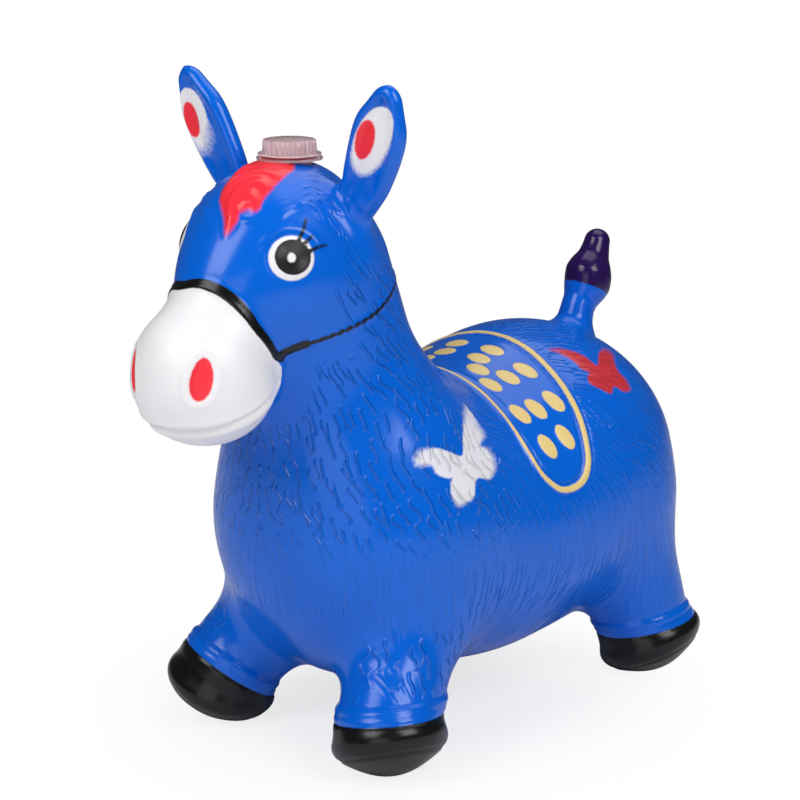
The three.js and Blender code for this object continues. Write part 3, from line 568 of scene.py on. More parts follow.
def eyes(coat):
    """Eyes with a painted sheen of lighter grey beams across each black pupil, lashes and moulded hairs of
    the brow.
    """
    coat.layers["pupil_sheen"] = np.zeros(len(coat.p))
    for sign, centre, away in EYES:
        u, v, off = chart(coat.m, centre, away)
        flat = np.stack([u, v], 1)
        near = coat.on(sign) & (np.abs(off) < EYE_SKIN)
        white, pupil, glint = (in_ellipse(u - at[0], v - at[1], *half) for at, half in EYE_DISCS)
        white = np.where(near, white, FAR)
        coat.paint("white", white, SOFT)
        coat.paint("black", pupil, where=near)
        coat.paint("glint", glint, SOFT, near)
        coat.lift(EYE_RISE * fall(white, *EYE_EDGE) - EYE_GROOVE_DEPTH * ridge(white, *EYE_GROOVE), near)
        coat.lift(LID_RISE * ridge(white, *LID) * smooth(v, *LID_FROM), near)
        # Painted sheen: two opposite beams of lighter grey across the black pupil, standing in for a
        # reflection on the eye's dome
        across, up = u - PUPIL_AT[0], v - PUPIL_AT[1]
        turn, reach = np.arctan2(up, across), np.hypot(across, up)
        sheen = (0.5 + 0.5 * np.cos(2 * (turn + SHEEN_TURN))) ** 3
        coat.layers["pupil_sheen"] += np.where(near, sheen * smooth(reach, *SHEEN_FROM) * fall(reach, *SHEEN_TO), 0)
        for lash in LASHES:
            d, along = to_line(flat, lash)
            half = LASH_HALF - LASH_THINNING * along - LASH_POINT * smooth(along, *LASH_END)
            coat.paint("black", d - half, LASH_SOFT + LASH_SOFTENING * along, near)
        coat.fur *= smooth(white, *BARE_EYE)
        near = coat.on(sign) & (np.abs(off) < BROW_SKIN) & (coat.p[:, 2] > BROW_FROM_Z)
        for strand in BROW_HAIRS:
            d, along = to_line(flat, rounded(strand, closed=False))
            rise = BROW_RISE * ridge(d, 0, BROW_HALF)
            coat.lift(rise * smooth(along, *BROW_START) * fall(along, *BROW_END), near)


# Forelock: its outline from above, lower and plainer beside the cap
FORELOCK = ((24, -38), (27.5, -50), (30.3, -68), (31, -77), (33.2, -85), (31, -89), (26.5, -91), (22.5, -95),
            (23.5, -99.5), (21.5, -105), (18.0, -108.5), (12, -103.5), (4, -98.5), (-3, -93.5), (-9.5, -83),
            (-14.5, -67), (-20, -52), (-23, -38), (-12, -28), (10, -28))
LOCK_FROM_Z = 440
LOCK_SPREAD, LOCK_SOFT = 0.6, 1.4
LOCK_RISE, LOCK_EDGE, LOCK_BY_CAP, BESIDE_CAP = 3.0, (-7, 3), 0.3, (29, 44)
SWIRL_AT, SWIRL_SQUEEZE = (22, -86), 0.85
SWIRL_RISE, SWIRL_TURN, SWIRL_EDGE = 0.7, 1.7, (-6, -1)
BARE_LOCK = (4, 22)


def forelock(coat):
    x, y, z = coat.p.T
    beside_cap = smooth(from_axis(coat.p, UNIT_Y), *BESIDE_CAP)
    d = np.where(z > LOCK_FROM_Z, in_outline(coat.p[:, :2], rounded(FORELOCK)), FAR)
    coat.paint("red", d + LOCK_SPREAD, LOCK_SOFT)
    coat.lift(LOCK_RISE * fall(d, *LOCK_EDGE) * (LOCK_BY_CAP + (1 - LOCK_BY_CAP) * beside_cap))
    swirl = np.hypot(x - SWIRL_AT[0], (y - SWIRL_AT[1]) * SWIRL_SQUEEZE)
    coat.lift(SWIRL_RISE * np.sin(swirl / SWIRL_TURN) * fall(d, *SWIRL_EDGE) * beside_cap, d < 0)
    coat.fur *= smooth(d, *BARE_LOCK)


# Saddle cloth: half its edge and its spots, as the distance round the back from the spine, and y
SADDLE_AXIS_Z = 180.0
SADDLE_RADIUS = 130.0
SADDLE_SPAN = (100, 250)
SADDLE_EDGE = ((0, 231), (20, 230), (45, 227.5), (66, 224.5), (93, 221.4), (120, 218), (144, 213),
               (161, 208), (173, 199.5), (178, 187), (177, 173), (169, 163), (158, 156), (141, 152),
               (120, 150), (93, 149.5), (66, 150), (40, 150.2), (20, 150), (0, 150))
RIM_HALF = 1.9
REAR_RIM, REAR_RIM_FROM = 0.8, (170, 205)
LOW_RIM, LOW_RIM_FROM = 0.5, (150, 172)
RIM_RISE, RIM_EDGE = 1.5, (-1.0, 1.4)
GROOVE_OFF, GROOVE_HALF, INNER_GROOVE, OUTER_GROOVE = 2.0, 1.3, 1.1, 1.0
BEAD_RISE, BEAD = 0.4, (-8.0, 1.4)
SADDLE_SPOTS = ((21, 206), (21, 189), (34, 175), (62, 205), (60, 186.5), (59, 167), (101.5, 204), (102, 184),
                (101, 167), (135, 195), (138, 174))
SPOT_HALF, SPOT_LEAN, SPOT_LEAN_FROM = (12.6, 6.9), 0.25, (20, 90)
SPOT_RISE, SPOT_EDGE = 0.9, (-1.6, 1.2)
BARE_SADDLE = (6, 10)


def saddle(coat):
    x, y, z = coat.m.T
    round_back = SADDLE_RADIUS * np.arctan2(x, z - SADDLE_AXIS_Z)
    flat = np.stack([round_back, y], 1)
    on_back = (z > SADDLE_AXIS_Z) & between(y, SADDLE_SPAN)
    outline = rounded(SADDLE_EDGE, closed=False)
    outline = np.concatenate([outline, (outline * (-1, 1))[::-1]])
    d = np.full(len(y), FAR)
    d[on_back] = in_outline(flat[on_back], outline)
    rim = RIM_HALF + REAR_RIM * smooth(y, *REAR_RIM_FROM) + LOW_RIM * smooth(round_back, *LOW_RIM_FROM)
    off_rim = np.abs(d) - rim
    coat.paint("cream", off_rim, FIRM)
    coat.lift(RIM_RISE * fall(off_rim, *RIM_EDGE) + BEAD_RISE * ridge(d, *BEAD))
    coat.lift(-INNER_GROOVE * ridge(d, -rim - GROOVE_OFF, GROOVE_HALF))
    coat.lift(-OUTER_GROOVE * ridge(d, rim + GROOVE_OFF, GROOVE_HALF))
    for spot_round, spot_y in SADDLE_SPOTS:
        lean = SPOT_LEAN * smooth(spot_round, *SPOT_LEAN_FROM)
        du, dv = round_back - spot_round, y - spot_y
        spot = in_ellipse(du + lean * dv, dv - lean * du, *SPOT_HALF)
        coat.paint("cream", spot, FIRM, on_back)
        coat.lift(SPOT_RISE * fall(spot, *SPOT_EDGE), on_back)
    coat.fur *= smooth(d, *BARE_SADDLE)


# Butterflies: wings in the view that they are sprayed from, soft towards their tips
WHITE_BUTTERFLY = (111.0, 63.2, 253.5)
WHITE_WINGS = ((0, 2), (1, 15), (2, 28), (5, 44), (9, 46), (12, 36), (15, 26), (19, 18), (15.5, 10),
               (22, 6), (27, -2), (27.5, -10), (23, -17.5), (14, -16.5), (11, -20), (9.5, -32), (2.5, -36),
               (-3, -38), (-8.5, -30), (-9.5, -20), (-8, -16), (-14, -15.5), (-21, -12), (-25, -5.5),
               (-36, -5), (-38, 1), (-33, 6.5), (-22, 8.5), (-10, 5))
WHITE_SPRAY = {"depth": 45, "soft": 0.8, "softening": 2.4, "tips": (28, 48)}
RED_BUTTERFLY = (90.1, 263.4, 287.9)
RED_WINGS = ((2.5, 6), (5, 15), (8, 19), (13, 20.5), (18.5, 17), (20, 6), (23, 0), (29, -7), (32, -14),
             (30, -17), (24, -16.5), (17, -12.5), (14, -18.5), (11, -18.5), (4, -15), (-5.5, -10), (-7, -4),
             (-5.5, 0), (-12, 2.5), (-19, 9.5), (-30, 16), (-39, 19.5), (-30, 20.5), (-17, 18), (-7, 13))
RED_SPRAY = {"depth": 60, "soft": 0.9, "softening": 2.0, "tips": (24, 55)}
BUTTERFLY_REACH = (65, 75)
THIN, THIN_LOW, THIN_FROM_Z = 0.7, 0.4, (255, 300)


def butterflies(coat):
    def spray(paint, centre, wings, depth, soft, softening, tips):
        u, v, off = chart(coat.m, centre, VIEWED_FROM)
        d = in_outline(np.stack([u, v], 1), rounded(wings))
        reach = np.linalg.norm(coat.m - centre, axis=1)
        coat.paint(paint, d, soft + softening * smooth(reach, *tips), np.abs(off) < depth)
        return fall(reach, *BUTTERFLY_REACH)

    near = spray("white", WHITE_BUTTERFLY, WHITE_WINGS, **WHITE_SPRAY)
    coat.layers["thin"] = THIN * near * (THIN_LOW + (1 - THIN_LOW) * smooth(coat.p[:, 2], *THIN_FROM_Z))
    coat.layers["dull"] = spray("red", RED_BUTTERFLY, RED_WINGS, **RED_SPRAY)


# Paint in each ear: its side, centre, half width and half length, lean and the softness of its lower edge
EAR_MARKS = (
    ("white", 1, (101.6, -32.3, 521.2), (14.2, 25.5), 0.38, 1.5),
    ("red", 1, (94.4, -32.7, 521.5), (7.7, 14.4), 0.2, 0),
    ("white", -1, (-99.2, -32.6, 520.9), (11.6, 26.5), -0.26, 6),
    ("red", -1, (-102.6, -32.0, 520.8), (6.0, 14.8), -0.26, 0),
)
EAR_MARK_LOWER = (-16, 2)
EAR_SKIN, EAR_OFF_TRUNK = 6, 3
HOLLOW_DEPTH, HOLLOW_EDGE, HOLLOW_FROM = 7.0, (3, 12), (12, 40)
HOLLOW_TIP = (EAR_LENGTH - 22, EAR_LENGTH - 4)
BARE_EAR = (5, 16)


def ears(coat):
    p = coat.p
    up, across, out = ear_frame(p)
    away = ear(p)
    face = (away < EAR_SKIN) & (trunk(p) > EAR_OFF_TRUNK) & (out > 0)
    from_rim = np.where(face, EAR_HALF_WIDTH * ear_share(up) - np.abs(across), 0)
    hollow = smooth(from_rim, *HOLLOW_EDGE) * smooth(up, *HOLLOW_FROM) * fall(up, *HOLLOW_TIP)
    coat.lift(-HOLLOW_DEPTH * hollow, face)
    shown = p + coat.n * coat.height[:, None]
    for name, sign, centre, half, lean, soft in EAR_MARKS:
        u, v, _ = chart(shown, centre, VIEWED_FROM)
        c, s = math.cos(lean), math.sin(lean)
        d = in_ellipse(c * u - s * v, s * u + c * v, *half)
        coat.paint(name, d, SOFT + soft * fall(v, *EAR_MARK_LOWER), face & coat.on(sign))
    coat.fur *= smooth(away, *BARE_EAR)


# Tail: purple above a sloping line
PURPLE_FROM, PURPLE_SLOPE = (348, 344.5), 0.5
TAIL_SKIN, TAIL_FROM_Z = 10, 312
BARE_TAIL = (4, 14)


def tail_end(coat):
    _, y, z = coat.p.T
    away = tail(coat.p)
    line = PURPLE_FROM[1] - PURPLE_SLOPE * (y - PURPLE_FROM[0])
    coat.paint("purple", line - z, SOFT, (away < TAIL_SKIN) & (z > TAIL_FROM_Z))
    coat.fur *= smooth(away, *BARE_TAIL)


# Each hoof's paint edge: side, its own downward line, and the distance down it
PAINT_LINES = {
    "front": ((1, (0.19, -0.09, -1), -5.0), (-1, (0.38, -0.61, -1), -3.0)),
    "rear": ((1, (0.185, 0.11, -1), -2.5), (-1, (0.185, 0.11, -1), -2.5)),
}
FOOT_SKIN, FOOT_FROM = HOOF_RADIUS + 16, -60
CUFF_RISE, CUFF_EDGE, CUFF_END = 1.6, (-15.5, -11.5), (2, 16)
CUFF_RINGS = ((0.8, -10.0, 2.6), (0.5, -4.0, 2.0), (-0.9, 0.0, 1.1))
WELT_DEPTH, WELT, WELT_FROM = 0.9, (24.5, 1.3), (26, 36)
BARE_CUFF = (-24, -14)
BARE_INNER, INNER_ACROSS, INNER_HEIGHTS, INNER_TOP = 0.9, (-34, -6), (95, 150), 150


def feet(coat):
    """Raised cuffs, hoof edges and paint."""
    x, _, z = coat.m.T
    for name, leg in LIMBS.items():
        u, out = down_limb(coat.m, leg)
        near = (out < FOOT_SKIN) & (u > FOOT_FROM)
        for sign, axis, start in PAINT_LINES[name]:
            mine = near & coat.on(sign)
            below = (coat.m - leg["ankle"]) @ unit(axis) - start
            cuff = CUFF_RISE * smooth(below, *CUFF_EDGE)
            for rise, at, half in CUFF_RINGS:
                cuff = cuff + rise * ridge(below, at, half)
            coat.lift(cuff * fall(below, *CUFF_END), mine)
            coat.paint("black", -below, FIRM, mine)
            coat.fur *= np.where(mine, fall(below, *BARE_CUFF), 1)
        coat.lift(-WELT_DEPTH * ridge(u, *WELT) * smooth(out, *WELT_FROM), near)
        inner = fall(x - leg["ankle"][0], *INNER_ACROSS) * fall(z, *INNER_HEIGHTS)
        coat.fur *= np.where(near | (z < INNER_TOP), 1 - BARE_INNER * inner, 1)


# Hair: steps back for each step down at some heights, at the shoulder, the flank and the rump
UNSWEPT = 190.0
STAGGER = 0.83
LEAN_HEIGHTS = (0, 60, 100, 150, 200, 260, 600)
LEAN_STEP = 5.0
LEANS = ((40, (0, -0.2, -0.2, 0, 0.2, 0.4, 0.4)), (170, (-0.6, -0.6, -0.5, -0.1, 0.35, 0.7, 0.7)),
         (300, (0, 0, 0.1, 0.25, 0.6, 1.1, 1.1)))
SWEPT_FROM_MIDDLE = (0, 100)
ROUND_CHEST, ROUND_RUMP, ROUND_NECK = 118, 130, 80
NECK_UP, NECK_BACK = (250, 320), (80, 130)
CROWN_FROM_Z = 350
TOP_LEAN = 0.4
BELLY_TURN, BARE_BELLY = 60, (66, 96)
CAP_HAIR, CAP_HAIR_Z, CAP_HAIR_DROP, CAP_HAIR_EDGE = 0.3, 480, 2, (26, 60)
TOPSIDE = (0.45, 0.72)
BOLD_CHEST_BACK, BOLD_CHEST_UP = (100, 150), (168, 208)
BOLD_RUMP, BOLD_RUMP_BACK, BOLD_RUMP_UP = 0.55, (215, 260), (165, 215)
BOLD_LEG_BACK, BOLD_LEG_OUT, BOLD_LEG_UP = 60, 62, (105, 125)


def combed(p):
    """Coordinates across and along the hair, on the sides and on the top of the body."""
    x, y, z = left(p).T
    front, back = CHEST[0][1], RUMP[0][1]
    before, after = np.maximum(front - y, 0), np.maximum(y - back, 0)
    from_middle = ROUND_CHEST * np.arctan2(x, np.maximum(before, 1e-3))
    side = from_middle + np.clip(y, front, back)
    side = side + ROUND_RUMP * np.arctan2(after, np.maximum(x, 1e-3))
    (_, low_y, low_z), _, (_, high_y, high_z), _ = NECK
    middle = low_y + (high_y - low_y) * (z - low_z) / (high_z - low_z)
    round_neck = ROUND_NECK * np.arctan2(x, middle - y) + front
    side = side + (round_neck - side) * smooth(z, *NECK_UP) * fall(y, *NECK_BACK)

    heights = np.arange(0, LEAN_HEIGHTS[-1] + 1, LEAN_STEP)
    swept = []
    for _, lean in LEANS:
        total = -LEAN_STEP * np.cumsum(np.interp(heights, LEAN_HEIGHTS, lean))
        swept.append(np.interp(z, heights, total) - np.interp(UNSWEPT, heights, total))
    first, mid, last = (station for station, _ in LEANS)
    at = np.clip(y, first, last)
    sweep = np.where(at < mid, swept[0] + (swept[1] - swept[0]) * (at - first) / (mid - first),
                     swept[1] + (swept[2] - swept[1]) * (at - mid) / (last - mid))
    side = side - sweep * smooth(from_middle, *SWEPT_FROM_MIDDLE)

    round_back = SADDLE_RADIUS * np.arctan2(x, np.maximum(z - SADDLE_AXIS_Z, 1))
    top = np.where(z > CROWN_FROM_Z, x, round_back) - TOP_LEAN * y
    return {"side_comb": side, "side_run": STAGGER * side - z, "top_comb": top, "top_run": y + STAGGER * top}


def hair(coat):
    """The lie of the hair, where it is bold, and where there is less of it: the belly and round the cap."""
    x, y, z = coat.m.T
    facing_up = coat.n[:, 2]
    coat.fur *= smooth(z + BELLY_TURN * (facing_up + 1), *BARE_BELLY)
    from_cap = from_axis(coat.p, UNIT_Y) + CAP_HAIR_DROP * np.maximum(CAP_HAIR_Z - z, 0)
    coat.fur *= CAP_HAIR + (1 - CAP_HAIR) * smooth(from_cap, *CAP_HAIR_EDGE)
    coat.layers.update(combed(coat.p))
    coat.layers["topside"] = smooth(facing_up, *TOPSIDE)
    chest = fall(y, *BOLD_CHEST_BACK) * smooth(z, *BOLD_CHEST_UP)
    rump = BOLD_RUMP * smooth(y, *BOLD_RUMP_BACK) * smooth(z, *BOLD_RUMP_UP)
    leg = fall(z, *BOLD_LEG_UP) * (y < BOLD_LEG_BACK) * (x > BOLD_LEG_OUT)
    coat.layers["bold"] = np.maximum(np.maximum(chest, rump), leg)
    coat.layers["fur"] = coat.fur


OFF_FLOOR = (0.5, 3.0)


def paint_and_relief(p, n):
    """The paint and hair of each point of the skin, and its moulded height."""
    coat = Coat(p, n)
    for detail in (bridle, nostrils, eyes, forelock, saddle, butterflies, ears, tail_end, feet, hair):
        detail(coat)
    return coat.layers, coat.height * smooth(p[:, 2], *OFF_FLOOR)


# Materials
def nodes_of(name):
    material = bpy.data.materials.new(name)
    material.use_nodes = True
    tree = material.node_tree
    return material, tree, tree.nodes["Principled BSDF"]


def add_node(tree, kind, **values):
    node = tree.nodes.new(kind)
    for key, value in values.items():
        if hasattr(node, key):
            setattr(node, key, value)
        else:
            node.inputs[key.replace("_", " ")].default_value = value
    return node


def feed(tree, socket, value):
    if isinstance(value, (int, float, tuple)):
        socket.default_value = value
    else:
        tree.links.new(value, socket)


def maths(operation, tree, a, b, clamp=False):
    node = add_node(tree, "ShaderNodeMath", operation=operation, use_clamp=clamp)
    feed(tree, node.inputs[0], a)
    feed(tree, node.inputs[1], b)
    return node.outputs[0]


plus, minus = partial(maths, "ADD"), partial(maths, "SUBTRACT")
times, over = partial(maths, "MULTIPLY"), partial(maths, "DIVIDE")


def mixed(tree, factor, a, b):
    node = add_node(tree, "ShaderNodeMix", data_type="RGBA")
    for index, value in ((0, factor), (6, a), (7, b)):
        feed(tree, node.inputs[index], value)
    return node.outputs[2]


def noise(tree, vector, scale, detail=2.0):
    node = add_node(tree, "ShaderNodeTexNoise", Scale=scale, Detail=detail)
    tree.links.new(vector, node.inputs["Vector"])
    return node.outputs["Fac"]


def attribute(tree, name):
    return add_node(tree, "ShaderNodeAttribute", attribute_name=name).outputs["Fac"]


def rgb(r, g, b):
    """Linear colour from screen values of 0 to 255."""
    line = [v / 255 for v in (r, g, b)]
    return tuple(v / 12.92 if v <= 0.04045 else ((v + 0.055) / 1.055) ** 2.4 for v in line) + (1.0,)


BLUE, DEEP_BLUE, DEEP_SHARE = rgb(0, 100, 214), rgb(0, 84, 194), 0.45
PURPLE = rgb(38, 16, 76)
WHITE = rgb(236, 234, 237)
CREAM, CREAM_WORN = rgb(236, 212, 142), rgb(222, 190, 118)
RED, DULL_RED = rgb(242, 48, 62), rgb(196, 52, 62)
# The grey is a painted sheen on the black of the pupils
BLACK, SHEEN_GREY = rgb(14, 14, 15), rgb(74, 74, 76)
UNEVEN_SCALE, GRAIN_SCALE, RAGGED_SCALE, PATCHY_SCALE = 9.0, 240.0, 420.0, 70.0
RAGGED, PATCHY = 1.6, 0.5
HAIR_HEIGHT, GRAIN_SHARE = 0.0011, 0.02
SKIN_ROUGHNESS, UNEVEN_ROUGHNESS = 0.15, 0.08
PAINT_ROUGHNESS = (("white", 0.2), ("cream", 0.16), ("black", 0.06))
SKIN_SHINE = 0.34
GLOSS_SPREAD, GRAIN_STRENGTH, GRAIN_FINENESS = 0.2, 0.4, 20
SCATTER, SWAY, SHORTEST, LENGTHS, BLUNTNESS = 0.85, 1.6, 0.7, 0.5, 2.0


def strokes(tree, side, apart, pitch, reach, half, wave, height):
    """Short wavy ridges, one to a cell: cell width and length, half length, half width and sway, in mm."""
    def vector(operation, a, b):
        node = add_node(tree, "ShaderNodeVectorMath", operation=operation)
        feed(tree, node.inputs[0], a)
        feed(tree, node.inputs[1], b)
        return node.outputs["Value" if operation == "DOT_PRODUCT" else "Vector"]

    def square(value):
        return times(tree, value, value)

    at = tree.nodes.new("ShaderNodeCombineXYZ")
    feed(tree, at.inputs[0], over(tree, attribute(tree, side + "_comb"), apart))
    feed(tree, at.inputs[1], over(tree, attribute(tree, side + "_run"), pitch))
    cell = add_node(tree, "ShaderNodeTexVoronoi", voronoi_dimensions="2D", Scale=1.0, Randomness=SCATTER)
    feed(tree, cell.inputs["Vector"], at.outputs[0])
    off = vector("SUBTRACT", at.outputs[0], cell.outputs["Position"])
    lot = vector("DOT_PRODUCT", cell.outputs["Color"], (1.0, 0.0, 0.0))
    other = vector("DOT_PRODUCT", cell.outputs["Color"], (0.0, 1.0, 0.0))
    w = vector("DOT_PRODUCT", off, (apart, 0.0, 0.0))
    t = vector("DOT_PRODUCT", off, (-STAGGER * apart, pitch, 0.0))
    turn = times(tree, t, math.pi / reach)
    turn = plus(tree, turn, minus(tree, other, 0.5))
    sway = times(tree, maths("SINE", tree, turn, 0.0), times(tree, lot, SWAY * wave))
    w = over(tree, minus(tree, w, sway), half)
    half_length = plus(tree, SHORTEST * reach, times(tree, other, LENGTHS * reach))
    crest = minus(tree, 1.0, square(w), clamp=True)
    ends = minus(tree, 1.0, square(over(tree, t, half_length)))
    ends = times(tree, ends, BLUNTNESS, clamp=True)
    return times(tree, times(tree, square(crest), ends), height)


def skin_material():
    material, tree, shader = nodes_of("painted_skin")
    place = tree.nodes.new("ShaderNodeTexCoord").outputs["Object"]
    uneven = noise(tree, place, UNEVEN_SCALE, detail=3.0)
    grain = noise(tree, place, GRAIN_SCALE)
    speckle = minus(tree, noise(tree, place, RAGGED_SCALE), 0.5)
    ragged = times(tree, speckle, RAGGED)

    def mask(name):
        edge = plus(tree, attribute(tree, name), ragged)
        return minus(tree, 0.5, times(tree, edge, 0.5), clamp=True)

    masks = {name: mask(name) for name in PAINTS}
    patches = times(tree, attribute(tree, "thin"), noise(tree, place, PATCHY_SCALE, detail=3.0))
    cover = minus(tree, 1.0, times(tree, patches, PATCHY))
    masks["white"] = times(tree, masks["white"], cover)
    paints = {
        "purple": PURPLE, "white": WHITE, "cream": mixed(tree, uneven, CREAM, CREAM_WORN),
        "red": mixed(tree, attribute(tree, "dull"), RED, DULL_RED),
        # Black turns grey where the pupil's painted sheen lies
        "black": mixed(tree, attribute(tree, "pupil_sheen"), BLACK, SHEEN_GREY), "glint": WHITE,
    }
    colour = mixed(tree, times(tree, uneven, DEEP_SHARE), BLUE, DEEP_BLUE)
    for name in PAINTS:
        colour = mixed(tree, masks[name], colour, paints[name])
    feed(tree, shader.inputs["Base Color"], colour)

    # Moulded hair along the lie of the coat
    bold = strokes(tree, "side", apart=9.6, pitch=23.0, reach=10.0, half=2.1, wave=2.2, height=1.3)
    fine = strokes(tree, "side", apart=5.2, pitch=32.0, reach=17.0, half=1.25, wave=1.0, height=0.5)
    topside = strokes(tree, "top", apart=5.6, pitch=26.0, reach=14.0, half=1.5, wave=1.3, height=0.65)
    stroke = mixed(tree, attribute(tree, "bold"), fine, bold)
    stroke = mixed(tree, attribute(tree, "topside"), stroke, topside)
    relief = times(tree, stroke, attribute(tree, "fur"))
    relief = plus(tree, relief, times(tree, grain, GRAIN_SHARE))
    bump = add_node(tree, "ShaderNodeBump", Strength=1.0, Distance=HAIR_HEIGHT)
    feed(tree, bump.inputs["Height"], relief)
    feed(tree, shader.inputs["Normal"], bump.outputs[0])

    rough = plus(tree, SKIN_ROUGHNESS, times(tree, uneven, UNEVEN_ROUGHNESS))
    for name, more in PAINT_ROUGHNESS:
        rough = plus(tree, rough, times(tree, masks[name], more))
    feed(tree, shader.inputs["Roughness"], rough)
    shader.inputs["Specular IOR Level"].default_value = SKIN_SHINE
    return material


def plain_material(name, colour, dark, roughness, metallic=0.0, scale=60.0, bump=0.0002, transmission=0.0):
    """A moulded, stamped or coated material with uneven colour and gloss and a fine grain."""
    material, tree, shader = nodes_of(name)
    place = tree.nodes.new("ShaderNodeTexCoord").outputs["Object"]
    uneven = noise(tree, place, scale, detail=4.0)
    feed(tree, shader.inputs["Base Color"], mixed(tree, uneven, colour, dark))
    spread = times(tree, minus(tree, uneven, 0.5), GLOSS_SPREAD)
    feed(tree, shader.inputs["Roughness"], plus(tree, roughness, spread, clamp=True))
    shader.inputs["Metallic"].default_value = metallic
    shader.inputs["Transmission Weight"].default_value = transmission
    grain = add_node(tree, "ShaderNodeBump", Strength=GRAIN_STRENGTH, Distance=bump)
    feed(tree, grain.inputs["Height"], noise(tree, place, scale * GRAIN_FINENESS))
    feed(tree, shader.inputs["Normal"], grain.outputs[0])
    return material


# Pieces of the skin
HEAD_FROM_Z, MUZZLE_BEFORE, MUZZLE_FROM_Z, HEAD_BEFORE = 330, -70, 250, 120
RUMP_BEHIND = 170
LEG_SKIN, LEG_TO_Z = HOOF_RADIUS + 22, 110
EAR_PIECE, EAR_PIECE_OFF, EAR_FROM_Z = 8, 6, 440
TAIL_PIECE, TAIL_PIECE_OFF, TAIL_BEHIND = 8, 5, 300
UNIT_CUT, UNIT_HOLE, UNIT_FROM_Z = 21, 20.5, 470
PLUG_CUT, PLUG_HOLE, PLUG_TO_Z = 5, 4.9, 90


def build_mesh(name, points, faces, normals=None, layers=None):
    mesh = bpy.data.meshes.new(name)
    faces = np.asarray(faces)
    mesh.vertices.add(len(points))
    mesh.vertices.foreach_set("co", np.asarray(points, np.float32).ravel())
    mesh.loops.add(faces.size)
    mesh.loops.foreach_set("vertex_index", faces.ravel().astype(np.int32))
    mesh.polygons.add(len(faces))
    mesh.polygons.foreach_set("loop_start", np.arange(0, faces.size, faces.shape[1], dtype=np.int32))
    mesh.update(calc_edges=True)
    mesh.validate()
    for key, value in (layers or {}).items():
        data = mesh.attributes.new(key, "FLOAT", "POINT").data
        data.foreach_set("value", np.asarray(value, np.float32))
    mesh.polygons.foreach_set("use_smooth", np.ones(len(mesh.polygons), bool))
    if normals is not None:
        mesh.normals_split_custom_set_from_vertices(np.asarray(normals, np.float32).tolist())
    obj = bpy.data.objects.new(name, mesh)
    bpy.context.scene.collection.objects.link(obj)
    return obj


def split(middle, plug_y):
    """The piece that each face belongs to, by the face's middle."""
    x, y, z = middle.T
    piece = np.full(len(middle), "trunk", dtype=object)
    piece[(z > HEAD_FROM_Z) | ((y < MUZZLE_BEFORE) & (z > MUZZLE_FROM_Z))] = "head"
    piece[y > HEAD_BEFORE] = "trunk"
    piece[y > RUMP_BEHIND] = "rump"
    off_trunk = trunk(middle)
    on_ear = (ear(middle) < EAR_PIECE) & (off_trunk > EAR_PIECE_OFF) & (z > EAR_FROM_Z)
    for which, sign in HANDS:
        mine = (x > 0) == (sign > 0)
        for name, leg in LIMBS.items():
            u, out = down_limb(left(middle), leg)
            near = (out < LEG_SKIN) & (z < LEG_TO_Z) & mine
            piece[near & (u > -LEG_SLEEVE)] = f"{name}_{which}_leg"
            piece[near & (u > 0)] = f"{name}_{which}_hoof"
        piece[on_ear & mine] = f"{which}_ear"
    piece[(tail(middle) < TAIL_PIECE) & (off_trunk > TAIL_PIECE_OFF) & (y > TAIL_BEHIND)] = "tail"
    piece[(from_axis(middle, UNIT_Y) < UNIT_CUT) & (z > UNIT_FROM_Z)] = "unit_hole"
    piece[(from_axis(middle, plug_y) < PLUG_CUT) & (z < PLUG_TO_Z)] = "plug_hole"
    return piece


def trim(hole, axis_y, radius):
    """Draws the edge of a hole onto a circle round a standing axis."""
    edge = np.intersect1d(quads[piece_of == hole], quads[piece_of != hole])
    out = skin[edge, :2] - (0, axis_y)
    skin[edge, :2] = (0, axis_y) + out * (radius / np.linalg.norm(out, axis=1))[:, None]


points, quads = facet(horse, GRID_LOW, GRID_HIGH, CELL)
points = settle(horse, points)
for _ in range(ROUNDS):
    points = settle(horse, relax(points, quads), 1)
base = settle(horse, points).astype(np.float32)
base_normals = normals_of(base, quads)
layers, height = paint_and_relief(base, base_normals)
skin = base + base_normals * height[:, None]
skin[:, 2] = np.maximum(skin[:, 2], 0)
skin_normals = normals_of(skin, quads)

plug_low, plug_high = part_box("air_plug")
plug_y = 0.5 * (plug_low.y + plug_high.y) / MM - SHIFT_Y
piece_of = split(base[quads].mean(1), plug_y)
trim("unit_hole", UNIT_Y, UNIT_HOLE)
trim("plug_hole", plug_y, PLUG_HOLE)
SKIN = skin_material()
places = metres(skin)
pieces = {}
for name in sorted(set(piece_of) - {"unit_hole", "plug_hole"}):
    faces = quads[piece_of == name]
    used, local = np.unique(faces, return_inverse=True)
    own = {key: value[used] for key, value in layers.items()}
    obj = build_mesh(name + "_skin", places[used], local.reshape(-1, 4), skin_normals[used], own)
    obj.data.materials.append(SKIN)
    pieces[name] = obj

for name in ("trunk", "rump", "head"):
    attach(pieces[name], "horse")
    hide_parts("body_skin")
for name, leg in LIMBS.items():
    for which, sign in HANDS:
        limb_name = f"{name}_{which}"
        shin = pieces[limb_name + "_leg"]
        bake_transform(shin)
        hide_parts(limb_name + "_leg")
        foot_piece = pieces[limb_name + "_hoof"]
        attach(foot_piece, limb_name + "_hoof")
        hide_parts(limb_name + "_hoof")
for which, sign in HANDS:
    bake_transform(pieces[which + "_ear"])
    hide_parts(which + "_ear")
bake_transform(pieces["tail"])
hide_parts("tail")


